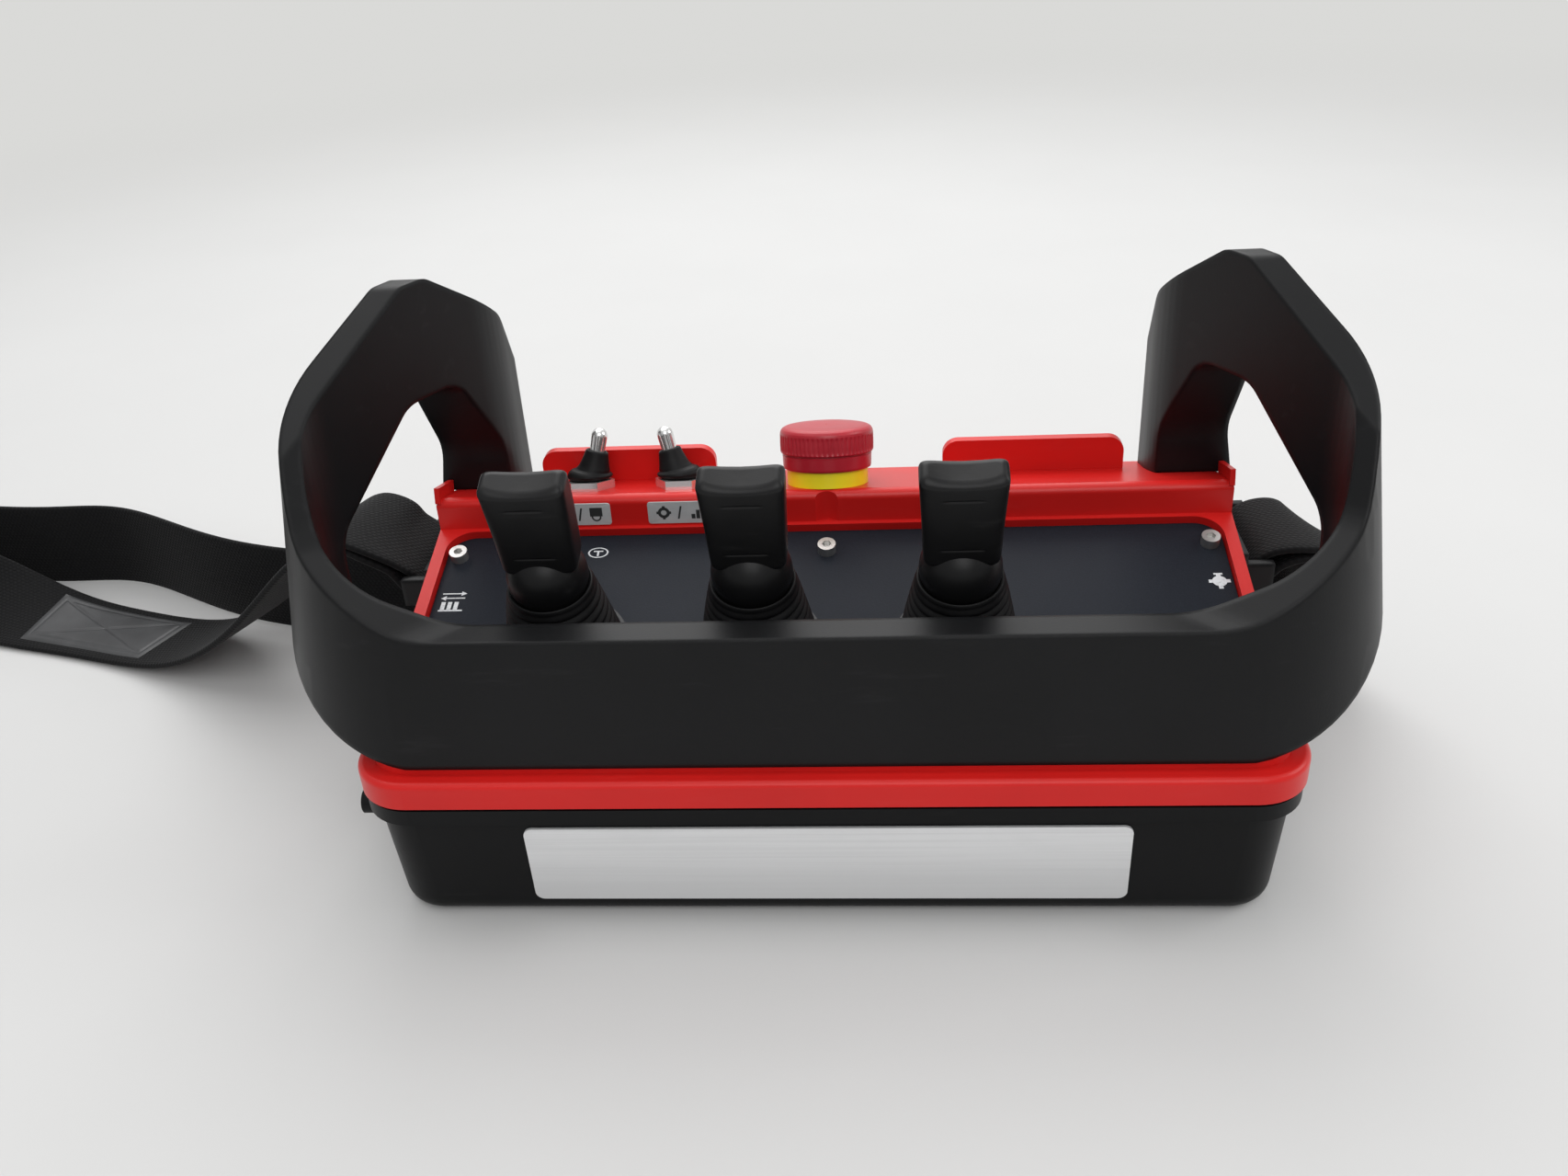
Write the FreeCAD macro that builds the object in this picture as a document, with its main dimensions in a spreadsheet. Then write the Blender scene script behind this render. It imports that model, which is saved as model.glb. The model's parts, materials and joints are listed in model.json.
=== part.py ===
import FreeCAD, Part
import os
import re
import Sketcher
from FreeCAD import Vector

# Joystick radio remote control, worn on a shoulder strap.
# Millimetres. X runs across the case, +Y points at the operator, Z is up.
# The origin is the middle of the case's underside, on the surface that it rests on.

doc = FreeCAD.newDocument("joystick_remote")
sheet = doc.addObject("Spreadsheet::Sheet", "Sizes")

sizes = {
    # case: lower tub, gasket and the cover's rim
    "case_width": 255, "case_depth": 140, "case_corner": 16,
    "tub_height": 36, "tub_draft": 3, "tub_wall": 2.8, "tub_step": 2.5,
    "tub_corner": 13, "tub_edge": 6, "flange_height": 4.8, "flange_step": 0.7,
    "gasket_thick": 1.2, "gasket_inset": 2, "gasket_wide": 4,
    "rim_height": 8, "rim_edge": 1.8,
    # cover above the rim
    "cover_step": 5, "cover_wall": 3, "cover_corner": 11,
    # tilted deck with its control panel, each margin measured from the case's side
    "deck_tilt": 15, "deck_front": 9, "deck_lift": 0.5, "lip_height": 2.5,
    "panel_margin": 9, "panel_thick": 2, "panel_corner": 8, "panel_play": 0.3, "panel_lead": 1.5,
    "panel_gap": 1.1, "window_margin": 23.5, "window_lead": 10, "window_tail": 9.5,
    # console at the operator's edge
    "console_deep": 43.5, "console_face": 10.5, "console_tilt": 15, "console_edge": 2.5,
    "relief_radius": 4.8, "relief_depth": 1.5,
    "tab_width": 57, "tab_height": 11, "tab_thick": 3, "tab_spacing": 130, "tab_back": 26,
    "tab_corner": 5,
    "end_lip_thick": 1.6, "end_lip_height": 3.5, "end_lip_gap": 1,
    # guard hoop: plan at the height of the front band's top
    "guard_front": 9.6, "guard_band": 9.4, "guard_side_band": 20.6, "guard_draft": 9,
    "guard_splay": 25, "guard_inner_splay": 28, "guard_corner": 54.6, "guard_inner_corner": 24,
    "guard_knee_corner": 36,
    "guard_leg_inset": 27.5, "guard_leg_thick": 18.8, "guard_knee": 25.3, "guard_rear": 9,
    # guard hoop: side view, fore points from the case's front and aft points from its rear
    "guard_top": 158.5, "guard_band_top": 88, "guard_float": 3,
    "guard_peak_front": 85, "guard_peak_rear": 47, "guard_peak_bend": 5,
    "guard_shoulder": 18, "guard_shoulder_top": 137.5, "guard_shoulder_bend": 14, "guard_rear_top": 120,
    "guard_cheek": 41, "guard_cheek_top": 131,
    "arch_front": 50, "arch_front_top": 97, "arch_foot_bend": 6, "arch_sill_bend": 16,
    "arch_peak_front": 80, "arch_peak_top": 125, "arch_peak_bend": 9,
    "arch_peak_rear": 42, "arch_rear": 28, "arch_rear_low": 98, "arch_knee_bend": 20,
    # guard hoop: how its top climbs round each bend
    "guard_turn_inset": 20.5, "guard_turn_back": 43, "guard_turn_bend": 18,
    "guard_rise_lead": 25, "guard_rise_bend": 8, "guard_rise_bend_top": 109,
    "guard_rise_cheek": 19, "guard_rise_cheek_top": 130, "guard_rise_slope": 67,
    "guard_foot_width": 34, "guard_foot_deep": 7.5, "guard_foot_sink": 1, "guard_foot_spacing": 150,
    # joystick levers
    "stick_pitch": 56.5, "stick_first": -75, "stick_back": 43, "stick_tilt_bore": 34,
    "stick_height": 63, "paddle_width": 25.8, "paddle_depth": 13, "paddle_tall": 28,
    "paddle_neck": 24.2, "paddle_draw": 0.2, "paddle_dish": 26, "paddle_dish_depth": 2.6, "paddle_edge": 2.5,
    "knuckle_radius": 11.6, "knuckle_low": 17, "shaft_diameter": 8, "hub_diameter": 12, "pivot_drop": 8,
    "boot_base": 35, "boot_shoulder": 28.8, "boot_mouth": 19.6, "boot_height": 18.6, "boot_roll": 3,
    "boot_wall": 1.2, "boot_fold": 1.1,
    "collar_diameter": 36, "collar_bore": 31, "collar_thick": 1.2,
    "gimbal_side": 36, "gimbal_height": 24, "gimbal_wall": 3, "pin_diameter": 4, "pin_play": 0.05,
    "spring_wire": 1.2, "spring_radius": 5, "sensor_thick": 1.6, "sensor_side": 24,
    # toggle switches
    "toggle_left": -76.5, "toggle_right": -46.5, "toggle_back": 14.5, "toggle_bore": 12.3,
    "toggle_thread": 12, "toggle_wall": 1, "nut_flats": 14.5, "nut_thick": 2.6, "toggle_body_wide": 13,
    "toggle_body_long": 12, "toggle_body_tall": 13, "bat_length": 17, "bat_tip": 2.6, "bat_root": 1.6,
    "bat_rest": 13, "bat_play": 0.4, "cone_base": 6.4, "cone_top": 3.4, "cone_wall": 1, "cone_tall": 8,
    "cone_shift": 0.6, "cone_lean": 0.7, "boot_gap": 1.2,
    # emergency stop
    "estop_back": 14.5, "estop_bore": 16.4, "estop_thread": 16, "estop_head": 29.5, "estop_edge": 1.4,
    "estop_head_tall": 10.4, "estop_ring": 25.4, "estop_ring_tall": 7.6, "estop_overlap": 0.8,
    "estop_gap": 0.4, "estop_travel": 4, "estop_crown": 1.8, "estop_stem": 9, "estop_seat": 2,
    "estop_block_side": 20, "estop_block_deep": 14, "estop_block_back": 2, "estop_block_tall": 16,
    "estop_nut": 19, "estop_nut_thick": 3,
    # side push button
    "button_lead": 18, "button_height": 31, "button_diameter": 7, "button_out": 6.5, "button_travel": 1.6,
    "button_play": 0.25, "button_stub": 1, "button_gap": 0.3, "button_body": 11, "button_body_long": 9,
    # fasteners, with each inset measured from the case's side
    "cap_head": 5.5, "cap_head_tall": 3, "cap_shank": 3, "cap_socket": 2.5, "cap_length": 8, "boss_floor": 1,
    "panel_screw_inset": 13, "panel_screw_tail": 9, "panel_screw_lead": 5,
    "case_screw": 4, "case_screw_head": 7, "case_screw_head_tall": 4, "case_post": 11,
    "case_post_inset": 15.5, "case_post_lead": 34, "case_post_tail": 14, "case_screw_bite": 3,
    "case_counterbore": 22, "screw_play": 0.4, "thread_play": 0.1, "screw_gap": 0.5, "head_play": 0.6,
    "guard_screw": 4, "guard_screw_head": 7, "guard_screw_head_tall": 3, "guard_screw_depth": 9,
    "leg_screw_inset": 21.5, "leg_screw_back": 20, "cutter": 60,
    # inside
    "board_long": 116, "board_wide": 62, "board_thick": 1.6, "board_lift": 9, "post_diameter": 6,
    "board_middle": -44,
    "battery_long": 74, "battery_wide": 50, "battery_tall": 18, "battery_middle": 62,
    "antenna_long": 60, "antenna_radius": 3.5,
    # name plate and strap
    "plate_long": 163, "plate_tall": 26, "plate_thick": 0.8, "plate_low": 7, "plate_corner": 2.5,
    "strap_wide": 35, "strap_thick": 2.4, "strap_lift": 0.6, "lug_back": 37, "lug_height": 62,
    "lug_wall": 2.5, "lug_arm": 3, "lug_arm_tall": 9, "lug_plate_tall": 16, "lug_reach": 8, "lug_bar": 5, "lug_play": 1,
}
for row, (alias, size) in enumerate(sizes.items(), 1):
    sheet.set("A%d" % row, alias)
    sheet.set("B%d" % row, str(size))
    sheet.setAlias("B%d" % row, alias)
doc.recompute()


def formula(text):
    """Turn bare size names into references to the sheet."""
    def refer(found):
        word = found.group(0)
        return "Sizes." + word if word in sizes else word
    return re.sub(r"[a-z][a-z_]*", refer, str(text))


def number(text):
    """The present value of a formula."""
    answer = sheet.evalExpression(formula(text))
    return float(getattr(answer, "Value", answer))


def bind(thing, **properties):
    for name, text in properties.items():
        thing.setExpression(name.replace("__", "."), formula(text))
    return thing


def place(thing, spot=("0", "0", "0"), tilt=None, axis=(1, 0, 0)):
    """Stand a piece at a spot, turned by an angle about an axis."""
    thing.Placement = FreeCAD.Placement(Vector(0, 0, 0), FreeCAD.Rotation(Vector(*axis), 30))
    for name, text in zip("xyz", spot):
        thing.setExpression("Placement.Base." + name, formula(text))
    thing.setExpression("Placement.Rotation.Angle", formula(tilt or "0"))
    return thing


def box(name, wide, deep, tall, spot=("0", "0", "0"), tilt=None):
    """A block standing on the middle of its underside."""
    block = doc.addObject("Part::Box", name)
    bind(block, Length=wide, Width=deep, Height=tall)
    place(block, ("-(%s)/2" % wide, "-(%s)/2" % deep, "0"))
    return moved(name + "_placed", [block], spot, tilt)


def cylinder(name, diameter, tall, spot=("0", "0", "0"), tilt=None, axis=(1, 0, 0)):
    rod = doc.addObject("Part::Cylinder", name)
    bind(rod, Radius="(%s)/2" % diameter, Height=tall)
    return place(rod, spot, tilt, axis)


def moved(name, things, spot, tilt=None, axis=(1, 0, 0)):
    group = doc.addObject("Part::Compound", name)
    group.Links = things
    return place(group, spot, tilt, axis)


def fuse(name, things):
    joined = doc.addObject("Part::MultiFuse", name)
    joined.Shapes = things
    return joined


def cut(name, base, things):
    carved = doc.addObject("Part::Cut", name)
    carved.Base = base
    carved.Tool = things[0] if len(things) == 1 else fuse(name + "_tools", things)
    return carved


def common(name, first, second):
    shared = doc.addObject("Part::Common", name)
    shared.Base = first
    shared.Tool = second
    return shared


def body(name):
    return doc.addObject("PartDesign::Body", name)


def sketch(solid, name, role, points, lift="0"):
    """A closed outline whose corners are formulas, on one of the body's own planes."""
    drawing = solid.newObject("Sketcher::SketchObject", name)
    plane = [feature for feature in solid.Origin.OriginFeatures if feature.Role == role][0]
    drawing.AttachmentSupport = [(plane, "")]
    drawing.MapMode = "FlatFace"
    drawing.setExpression("AttachmentOffset.Base.z", formula(lift))
    spots = [Vector(number(a), number(b), 0) for a, b in points]
    count = len(spots)
    for i in range(count):
        drawing.addGeometry(Part.LineSegment(spots[i], spots[(i + 1) % count]), False)
    for i in range(count):
        drawing.addConstraint(Sketcher.Constraint("Coincident", i, 2, (i + 1) % count, 1))
    for i, (across, up) in enumerate(points):
        for kind, text, axis, value in (
                ("DistanceX", across, -2, spots[i].x), ("DistanceY", up, -1, spots[i].y)):
            if text == "0":
                drawing.addConstraint(Sketcher.Constraint("PointOnObject", i, 1, axis))
                continue
            index = drawing.addConstraint(Sketcher.Constraint(kind, -1, 1, i, 1, value))
            drawing.setExpression("Constraints[%d]" % index, formula(text))
    return drawing


def rectangle(solid, name, wide, deep, lift="0", middle="0"):
    """A rectangle on the level plane, centred on X and on a given Y."""
    x, y = "(%s)/2" % wide, "(%s)/2" % deep
    front, rear = "%s - %s" % (middle, y), "%s + %s" % (middle, y)
    return sketch(solid, name, "XY_Plane", [("-" + x, front), (x, front), (x, rear), ("-" + x, rear)], lift)


def pad(solid, drawing, length, both=False, taper=None, down=False):
    raised = solid.newObject("PartDesign::Pad", drawing.Name + "_pad")
    raised.Profile = drawing
    raised.Midplane = both
    raised.Reversed = down
    bind(raised, Length=length)
    if taper:
        bind(raised, TaperAngle=taper)
    doc.recompute()
    return raised


def along(edge, axis):
    if edge.Curve.TypeId != "Part::GeomLine":
        return False
    ends = [vertex.Point for vertex in edge.Vertexes]
    return abs((ends[1] - ends[0]).normalize().dot(Vector(*axis))) > 0.99


def level(edge, height):
    """True for an edge that lies at one height."""
    limits = edge.BoundBox
    return abs(limits.ZMin - height) < 0.01 and abs(limits.ZMax - height) < 0.01


def rounded(solid, name, radius, chosen):
    """Round the edges of the body's last feature that a test chooses."""
    base = solid.Tip
    names = ["Edge%d" % (i + 1) for i, edge in enumerate(base.Shape.Edges) if chosen(edge)]
    soft = solid.newObject("PartDesign::Fillet", name)
    soft.Base = (base, names)
    bind(soft, Radius=radius)
    doc.recompute()
    return soft


def drafted(solid, name, angle):
    """Lean the body's upright walls inward from its foot."""
    base = solid.Tip
    walls = ["Face%d" % (i + 1) for i, face in enumerate(base.Shape.Faces) if face.BoundBox.ZLength > 0.05]
    lean = solid.newObject("PartDesign::Draft", name)
    lean.Base = (base, walls)
    floor = next(plane for plane in solid.Origin.OriginFeatures if plane.Role == "XY_Plane")
    lean.NeutralPlane = (floor, [""])
    bind(lean, Angle=angle)
    doc.recompute()
    return lean


def near(edge, y, z, tolerance=0.05):
    """True for an edge along X that passes through a point of the side view."""
    middle = edge.BoundBox.Center
    return along(edge, (1, 0, 0)) and abs(middle.y - y) < tolerance and abs(middle.z - z) < tolerance


def slab(name, wide, deep, tall, corner, lift="0", middle="0"):
    """A rectangular block with rounded upright corners."""
    solid = body(name)
    pad(solid, rectangle(solid, name + "_outline", wide, deep, lift, middle), tall)
    rounded(solid, name + "_corners", corner, lambda edge: along(edge, (0, 0, 1)))
    return solid


# Levels and datum lines that the pieces share.
gasket_low = "(tub_height + flange_height)"
rim_low = "(tub_height + flange_height + gasket_thick)"
rim_top = "(%s + rim_height)" % rim_low
deck_y = "(deck_front - case_depth / 2)"
deck_z = "(%s + deck_lift)" % rim_top
console_y = "(case_depth / 2 - console_deep)"
deck_run = "(case_depth - console_deep - deck_front)"
console_z = "(%s + %s * tan(deck_tilt) + lip_height / cos(deck_tilt) + console_face)" % (deck_z, deck_run)
wall_front = "(cover_step - case_depth / 2)"
wall_rear = "(case_depth / 2 - cover_step)"
wall_side = "(case_width / 2 - cover_step)"
panel_wide = "(case_width - 2 * panel_margin)"
panel_long = "(%s / cos(deck_tilt) + panel_lead - panel_gap)" % deck_run


def deck(across, back, up):
    """A spot on the tilted deck: across, back along the slope, and up from the panel's face."""
    return (across,
            "%s + (%s) * cos(deck_tilt) - (%s) * sin(deck_tilt)" % (deck_y, back, up),
            "%s + (%s) * sin(deck_tilt) + (%s) * cos(deck_tilt)" % (deck_z, back, up))


def console(across, back, up):
    """A spot on the console's top, which falls towards the operator."""
    return (across,
            "%s + (%s) * cos(console_tilt) + (%s) * sin(console_tilt)" % (console_y, back, up),
            "%s - (%s) * sin(console_tilt) + (%s) * cos(console_tilt)" % (console_z, back, up))


def slope(y, up="0"):
    """Height over a point of the side view of a line parallel to the deck."""
    return "(%s + (%s - %s) * tan(deck_tilt) + (%s) / cos(deck_tilt))" % (deck_z, y, deck_y, up)


def fall(y, up="0"):
    """Height over a point of the side view of a line parallel to the console's top."""
    return "(%s - (%s - %s) * tan(console_tilt) + (%s) / cos(console_tilt))" % (console_z, y, console_y, up)


nodes = []


def keep(label, thing):
    thing.Label = label
    nodes.append(thing)
    return thing


# Lower tub: drafted walls, rounded underside, a flange round the mouth and four screw posts.
tub_wide = "case_width - 2 * flange_step - 2 * tub_step"
tub_deep = "case_depth - 2 * flange_step - 2 * tub_step"
shell = body("tub_shell")
pad(shell, rectangle(shell, "tub_mouth", tub_wide, tub_deep, "tub_height"), "tub_height",
    taper="-tub_draft", down=True)
rounded(shell, "tub_corners", "tub_corner", lambda edge: edge.BoundBox.ZLength > number("tub_height") / 2)
rounded(shell, "tub_underside", "tub_edge", lambda edge: level(edge, 0))
flange = slab("tub_flange", "case_width - 2 * flange_step", "case_depth - 2 * flange_step",
              "flange_height", "case_corner - flange_step", "tub_height")
tub_inside = body("tub_inside")
pad(tub_inside, rectangle(tub_inside, "tub_inside_mouth", tub_wide + " - 2 * tub_wall",
                          tub_deep + " - 2 * tub_wall", gasket_low), gasket_low + " - tub_wall", taper="-tub_draft", down=True)
rounded(tub_inside, "tub_inside_corners", "tub_corner - tub_wall",
        lambda edge: edge.BoundBox.ZLength > number("tub_height") / 2)
rounded(tub_inside, "tub_inside_floor", "tub_edge - tub_wall", lambda edge: level(edge, number("tub_wall")))
tub_shell = cut("tub_hollow", fuse("tub_block", [shell, flange]), [tub_inside])
corners = [(x, y) for x in ("-(case_width / 2 - case_post_inset)", "(case_width / 2 - case_post_inset)")
           for y in ("-(case_depth / 2 - case_post_lead)", "(case_depth / 2 - case_post_tail)")]
board_spots = [(x, y) for x in ("board_middle - board_long / 2 + post_diameter / 2",
                                "board_middle + board_long / 2 - post_diameter / 2")
               for y in ("-board_wide / 2 + post_diameter / 2", "board_wide / 2 - post_diameter / 2")]
posts = [cylinder("tub_post_%d" % i, "case_post", gasket_low + " - tub_wall / 2", (x, y, "tub_wall / 2"))
         for i, (x, y) in enumerate(corners)]
wall_out = "((%s) / 2 - (tub_height - button_height) * tan(tub_draft))" % tub_wide
switch_x = "(-%s + tub_wall + button_stub + button_travel + button_gap + button_body_long / 2)" % wall_out
button_y = "(button_lead - case_depth / 2)"
posts += [cylinder("switch_post", "post_diameter", "button_height - button_body / 2 - tub_wall / 2",
                   (switch_x, button_y, "tub_wall / 2"))]
posts += [cylinder("board_post_%d" % i, "post_diameter", "board_lift - tub_wall / 2", (x, y, "tub_wall / 2"))
          for i, (x, y) in enumerate(board_spots)]
bores = [cylinder("tub_post_bore_%d" % i, "case_screw + 2 * pin_play", gasket_low, (x, y, "0"))
         for i, (x, y) in enumerate(corners)]
bores += [cylinder("tub_post_sink_%d" % i, "case_screw_head + head_play", "case_counterbore", (x, y, "0"))
          for i, (x, y) in enumerate(corners)]
bores += [cylinder("button_hole", "button_diameter + 2 * button_play", "case_corner",
                   ("-case_width / 2 - button_out", button_y, "button_height"), "90", (0, 1, 0))]
keep("tub", cut("tub_carved", fuse("tub_solid", [tub_shell] + posts), bores))

# Gasket between the tub's flange and the cover's rim.
seal_wide = "case_width - 2 * gasket_inset"
seal_deep = "case_depth - 2 * gasket_inset"
seal = slab("gasket_outer", seal_wide, seal_deep, "gasket_thick", "case_corner - gasket_inset", gasket_low)
seal_mouth = slab("gasket_inner", seal_wide + " - 2 * gasket_wide", seal_deep + " - 2 * gasket_wide",
                  "gasket_thick", "case_corner - gasket_inset - gasket_wide", gasket_low)
keep("gasket", cut("gasket_ring", seal, [seal_mouth]))

# Cover: a rim as wide as the case, and above it a deck that rises to the console.
rim = slab("cover_rim", "case_width", "case_depth", "rim_height", "case_corner", rim_low)
rounded(rim, "cover_rim_edge", "rim_edge", lambda edge: level(edge, number(rim_top)))
upper = body("cover_upper")
upper_profile = [(wall_front, rim_low), (wall_front, slope(wall_front, "lip_height")),
                 (console_y, slope(console_y, "lip_height")), (console_y, console_z),
                 (wall_rear, fall(wall_rear)), (wall_rear, rim_low)]
pad(upper, sketch(upper, "cover_side", "YZ_Plane", upper_profile), "2 * " + wall_side, both=True)
rounded(upper, "cover_corners", "cover_corner", lambda edge: along(edge, (0, 0, 1)) and (
    abs(edge.BoundBox.Center.y - number(console_y)) > 1))
rounded(upper, "console_edges", "console_edge", lambda edge: near(edge, number(console_y), number(console_z))
        or near(edge, number(wall_rear), number(fall(wall_rear))))
cavity = body("cover_cavity")
inner_front = "(%s + cover_wall)" % wall_front
inner_step = "(%s + cover_wall)" % console_y
inner_rear = "(%s - cover_wall)" % wall_rear
under = "-panel_thick - cover_wall"
cavity_profile = [(inner_front, rim_low), (inner_front, slope(inner_front, under)),
                  (inner_step, slope(inner_step, under)), (inner_step, fall(inner_step, "-cover_wall")),
                  (inner_rear, fall(inner_rear, "-cover_wall")), (inner_rear, rim_low)]
pad(cavity, sketch(cavity, "cavity_side", "YZ_Plane", cavity_profile), "2 * (%s - cover_wall)" % wall_side,
    both=True)
rounded(cavity, "cavity_corners", "cover_corner - cover_wall", lambda edge: along(edge, (0, 0, 1)) and (
    abs(edge.BoundBox.Center.y - number(inner_step)) > 1))
recess = slab("deck_recess", panel_wide + " + 2 * panel_play", panel_long + " + 2 * panel_play", "cutter / 3",
              "panel_corner + panel_play", "-panel_thick", panel_long + " / 2 - panel_lead")
place(recess, deck("0", "0", "0"), "deck_tilt")
window_long = "(%s - panel_lead - window_lead - window_tail)" % panel_long
window = slab("deck_window", "case_width - 2 * window_margin", window_long, "cutter", "panel_corner",
              "-cutter / 2", "window_lead + %s / 2" % window_long)
place(window, deck("0", "0", "0"), "deck_tilt")
relief = cylinder("console_relief", "2 * relief_radius", "2 * console_face",
                  ("0", "%s - relief_radius + relief_depth" % console_y, slope(console_y, "lip_height")))
bores = [cylinder(name + "_hole", wide, "cutter", console(x, back, "-cutter / 2"), "-console_tilt")
         for name, wide, x, back in (
             ("estop", "estop_bore", "0", "estop_back"), ("left_toggle", "toggle_bore", "toggle_left", "toggle_back"),
             ("right_toggle", "toggle_bore", "toggle_right", "toggle_back"))]
tabs = []
for name, x in (("tab_left", "-tab_spacing / 2"), ("tab_right", "tab_spacing / 2")):
    tab = body(name)
    tab_y = "(%s + tab_back)" % console_y
    sides = ("%s - tab_width / 2" % x, "%s + tab_width / 2" % x)
    foot, head = fall(tab_y, "-cover_wall"), fall(tab_y, "tab_height")
    outline = [(sides[0], foot), (sides[1], foot), (sides[1], head), (sides[0], head)]
    pad(tab, sketch(tab, name + "_outline", "XZ_Plane", outline, "-" + tab_y), "tab_thick", both=True)
    rounded(tab, name + "_corners", "tab_corner", lambda edge: along(edge, (0, 1, 0)) and (
        edge.BoundBox.Center.z > number(fall(tab_y))))
    tabs.append(tab)
end_x = "(%s - end_lip_thick / 2)" % wall_side
lip_long = "((console_deep - arch_rear - end_lip_gap) / cos(console_tilt))"
lips = [box("end_lip_%d" % i, "end_lip_thick", lip_long, "cover_wall / 2 + end_lip_height",
            console(x, lip_long + " / 2", "-cover_wall / 2"), "-console_tilt")
        for i, x in enumerate(("-" + end_x, end_x))]


def post_top(y, below):
    """Height inside the cover over a case screw, under the deck in front and under the console behind."""
    if y.startswith("-"):
        return slope(y, "-panel_thick - cover_wall / 2 - (%s)" % below)
    return fall(y + " + case_post / 2", "-cover_wall / 2 - (%s)" % below)


cover_posts = [cylinder("cover_post_%d" % i, "case_post", post_top(y, "0") + " - " + rim_low, (x, y, rim_low))
               for i, (x, y) in enumerate(corners)]
cover_shell = cut("cover_shell", fuse("cover_block", [rim, upper] + tabs + lips), [cavity])
thread_bores = [cylinder("cover_post_bore_%d" % i, "case_screw",
                         post_top(y, "case_screw_bite") + " - " + rim_low,
                         (x, y, rim_low)) for i, (x, y) in enumerate(corners)]
panel_side = "(case_width / 2 - panel_screw_inset)"
panel_spots = [(x, back) for x in ("-" + panel_side, "0", panel_side)
               for back in ("panel_screw_lead", panel_long + " - panel_lead - panel_screw_tail")]
panel_bores = [cylinder("panel_thread_%d" % i, "cap_shank", "cap_length", deck(x, back, "-cap_length"),
                        "deck_tilt")
               for i, (x, back) in enumerate(panel_spots)]
panel_bosses = [cylinder("panel_boss_%d" % i, "2 * cap_head", "cap_length - panel_thick + boss_floor",
                         deck(x, back, "-cap_length - boss_floor"), "deck_tilt")
                for i, (x, back) in enumerate(panel_spots)]
foot_back = "((guard_front + guard_band / 2 - deck_front) / cos(deck_tilt))"
foot_spots = ("-guard_foot_spacing / 2", "guard_foot_spacing / 2")
leg_spots = ("-(case_width / 2 - leg_screw_inset)", "(case_width / 2 - leg_screw_inset)")
guard_holes = [cylinder("foot_hole_%d" % i, "guard_screw + screw_play", "cutter / 2",
                        deck(x, foot_back, "-cutter / 4"), "deck_tilt") for i, x in enumerate(foot_spots)]
guard_holes += [cylinder("leg_hole_%d" % i, "guard_screw + screw_play", "cutter / 4",
                         console(x, "leg_screw_back", "-cutter / 6"), "-console_tilt")
                for i, x in enumerate(leg_spots)]
cover_solid = fuse("cover_posted", [cover_shell] + cover_posts + panel_bosses)
cover_cuts = [recess, window, relief] + bores + thread_bores + panel_bores + guard_holes
keep("cover", cut("cover_carved", cover_solid, cover_cuts))

# Control panel: a plate let into the deck, with a bore for each lever.
stick_x = ["(stick_first + %d * stick_pitch)" % i for i in range(3)]
plate = slab("panel_plate", panel_wide, panel_long, "panel_thick", "panel_corner", "-panel_thick",
             panel_long + " / 2 - panel_lead")
holes = [cylinder("panel_bore_%d" % i, "stick_tilt_bore", "panel_thick", (x, "stick_back", "-panel_thick"))
         for i, x in enumerate(stick_x)]
holes += [cylinder("panel_screw_bore_%d" % i, "cap_shank + screw_play", "panel_thick",
                   (x, back, "-panel_thick"))
          for i, (x, back) in enumerate(panel_spots)]
holes += [cylinder("panel_foot_bore_%d" % i, "guard_screw + screw_play", "panel_thick",
                   (x, foot_back, "-panel_thick"))
          for i, x in enumerate(foot_spots)]
keep("control_panel", place(cut("panel_drilled", plate, holes), deck("0", "0", "0"), "deck_tilt"))


def cap_screw(name, head, head_tall, shank, length, socket):
    """A socket-head screw, its head's underside at the origin."""
    top = cylinder(name + "_head", head, head_tall)
    stem = cylinder(name + "_shank", shank, length, ("0", "0", "-(%s)" % length))
    hexagon = doc.addObject("Part::Prism", name + "_socket")
    hexagon.Polygon = 6
    bind(hexagon, Circumradius="(%s) / sqrt(3)" % socket, Height=head_tall)
    place(hexagon, ("0", "0", "(%s) / 2" % head_tall))
    return cut(name, fuse(name + "_blank", [top, stem]), [hexagon])


screws = []
for i, (x, back) in enumerate(panel_spots):
    screw = cap_screw("panel_screw_%d" % i, "cap_head", "cap_head_tall", "cap_shank - thread_play",
                      "cap_length - screw_gap", "cap_socket")
    screws.append(place(screw, deck(x, back, "0"), "deck_tilt"))
keep("panel_screws", moved("panel_screw_set", screws, ("0", "0", "0")))

# Guard: a moulded hoop. Its plan is a horseshoe that closes in on the console, with drafted outer walls,
# and its side view gives the front band, the raised cheeks, the arches and the rear legs.


def fore(distance):
    """A point of the side view, measured back from the case's front."""
    return "(%s - case_depth / 2)" % distance


def aft(distance):
    """A point of the side view, measured forward from the case's rear."""
    return "(case_depth / 2 - %s)" % distance


back_y = fore("(guard_front + guard_band)")
knee_y, rear_y = aft("guard_knee"), aft("guard_rear")
leg_in = "(case_width / 2 - guard_leg_inset)"
corner_in = "(%s + (%s - %s) * tan(guard_inner_splay))" % (leg_in, knee_y, back_y)
# The outer wall is drawn at the base, where the draft has widened it.
spread = "(guard_band_top * tan(guard_draft))"
front_low = "(%s - %s)" % (fore("guard_front"), spread)
leg_low = "(%s + guard_leg_thick + %s)" % (leg_in, spread)
skew = "((guard_side_band + %s) / cos(guard_splay))" % spread
corner_low = "(%s + (%s - %s) * tan(guard_splay) + %s)" % (leg_in, knee_y, front_low, skew)
knee_low = "(%s - (%s - %s - %s) / tan(guard_splay))" % (knee_y, leg_low, leg_in, skew)
hoop_tall = "(guard_top + guard_band)"


def mirrored(half):
    return half + [("-" + x, y) for x, y in reversed(half)]


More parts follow.
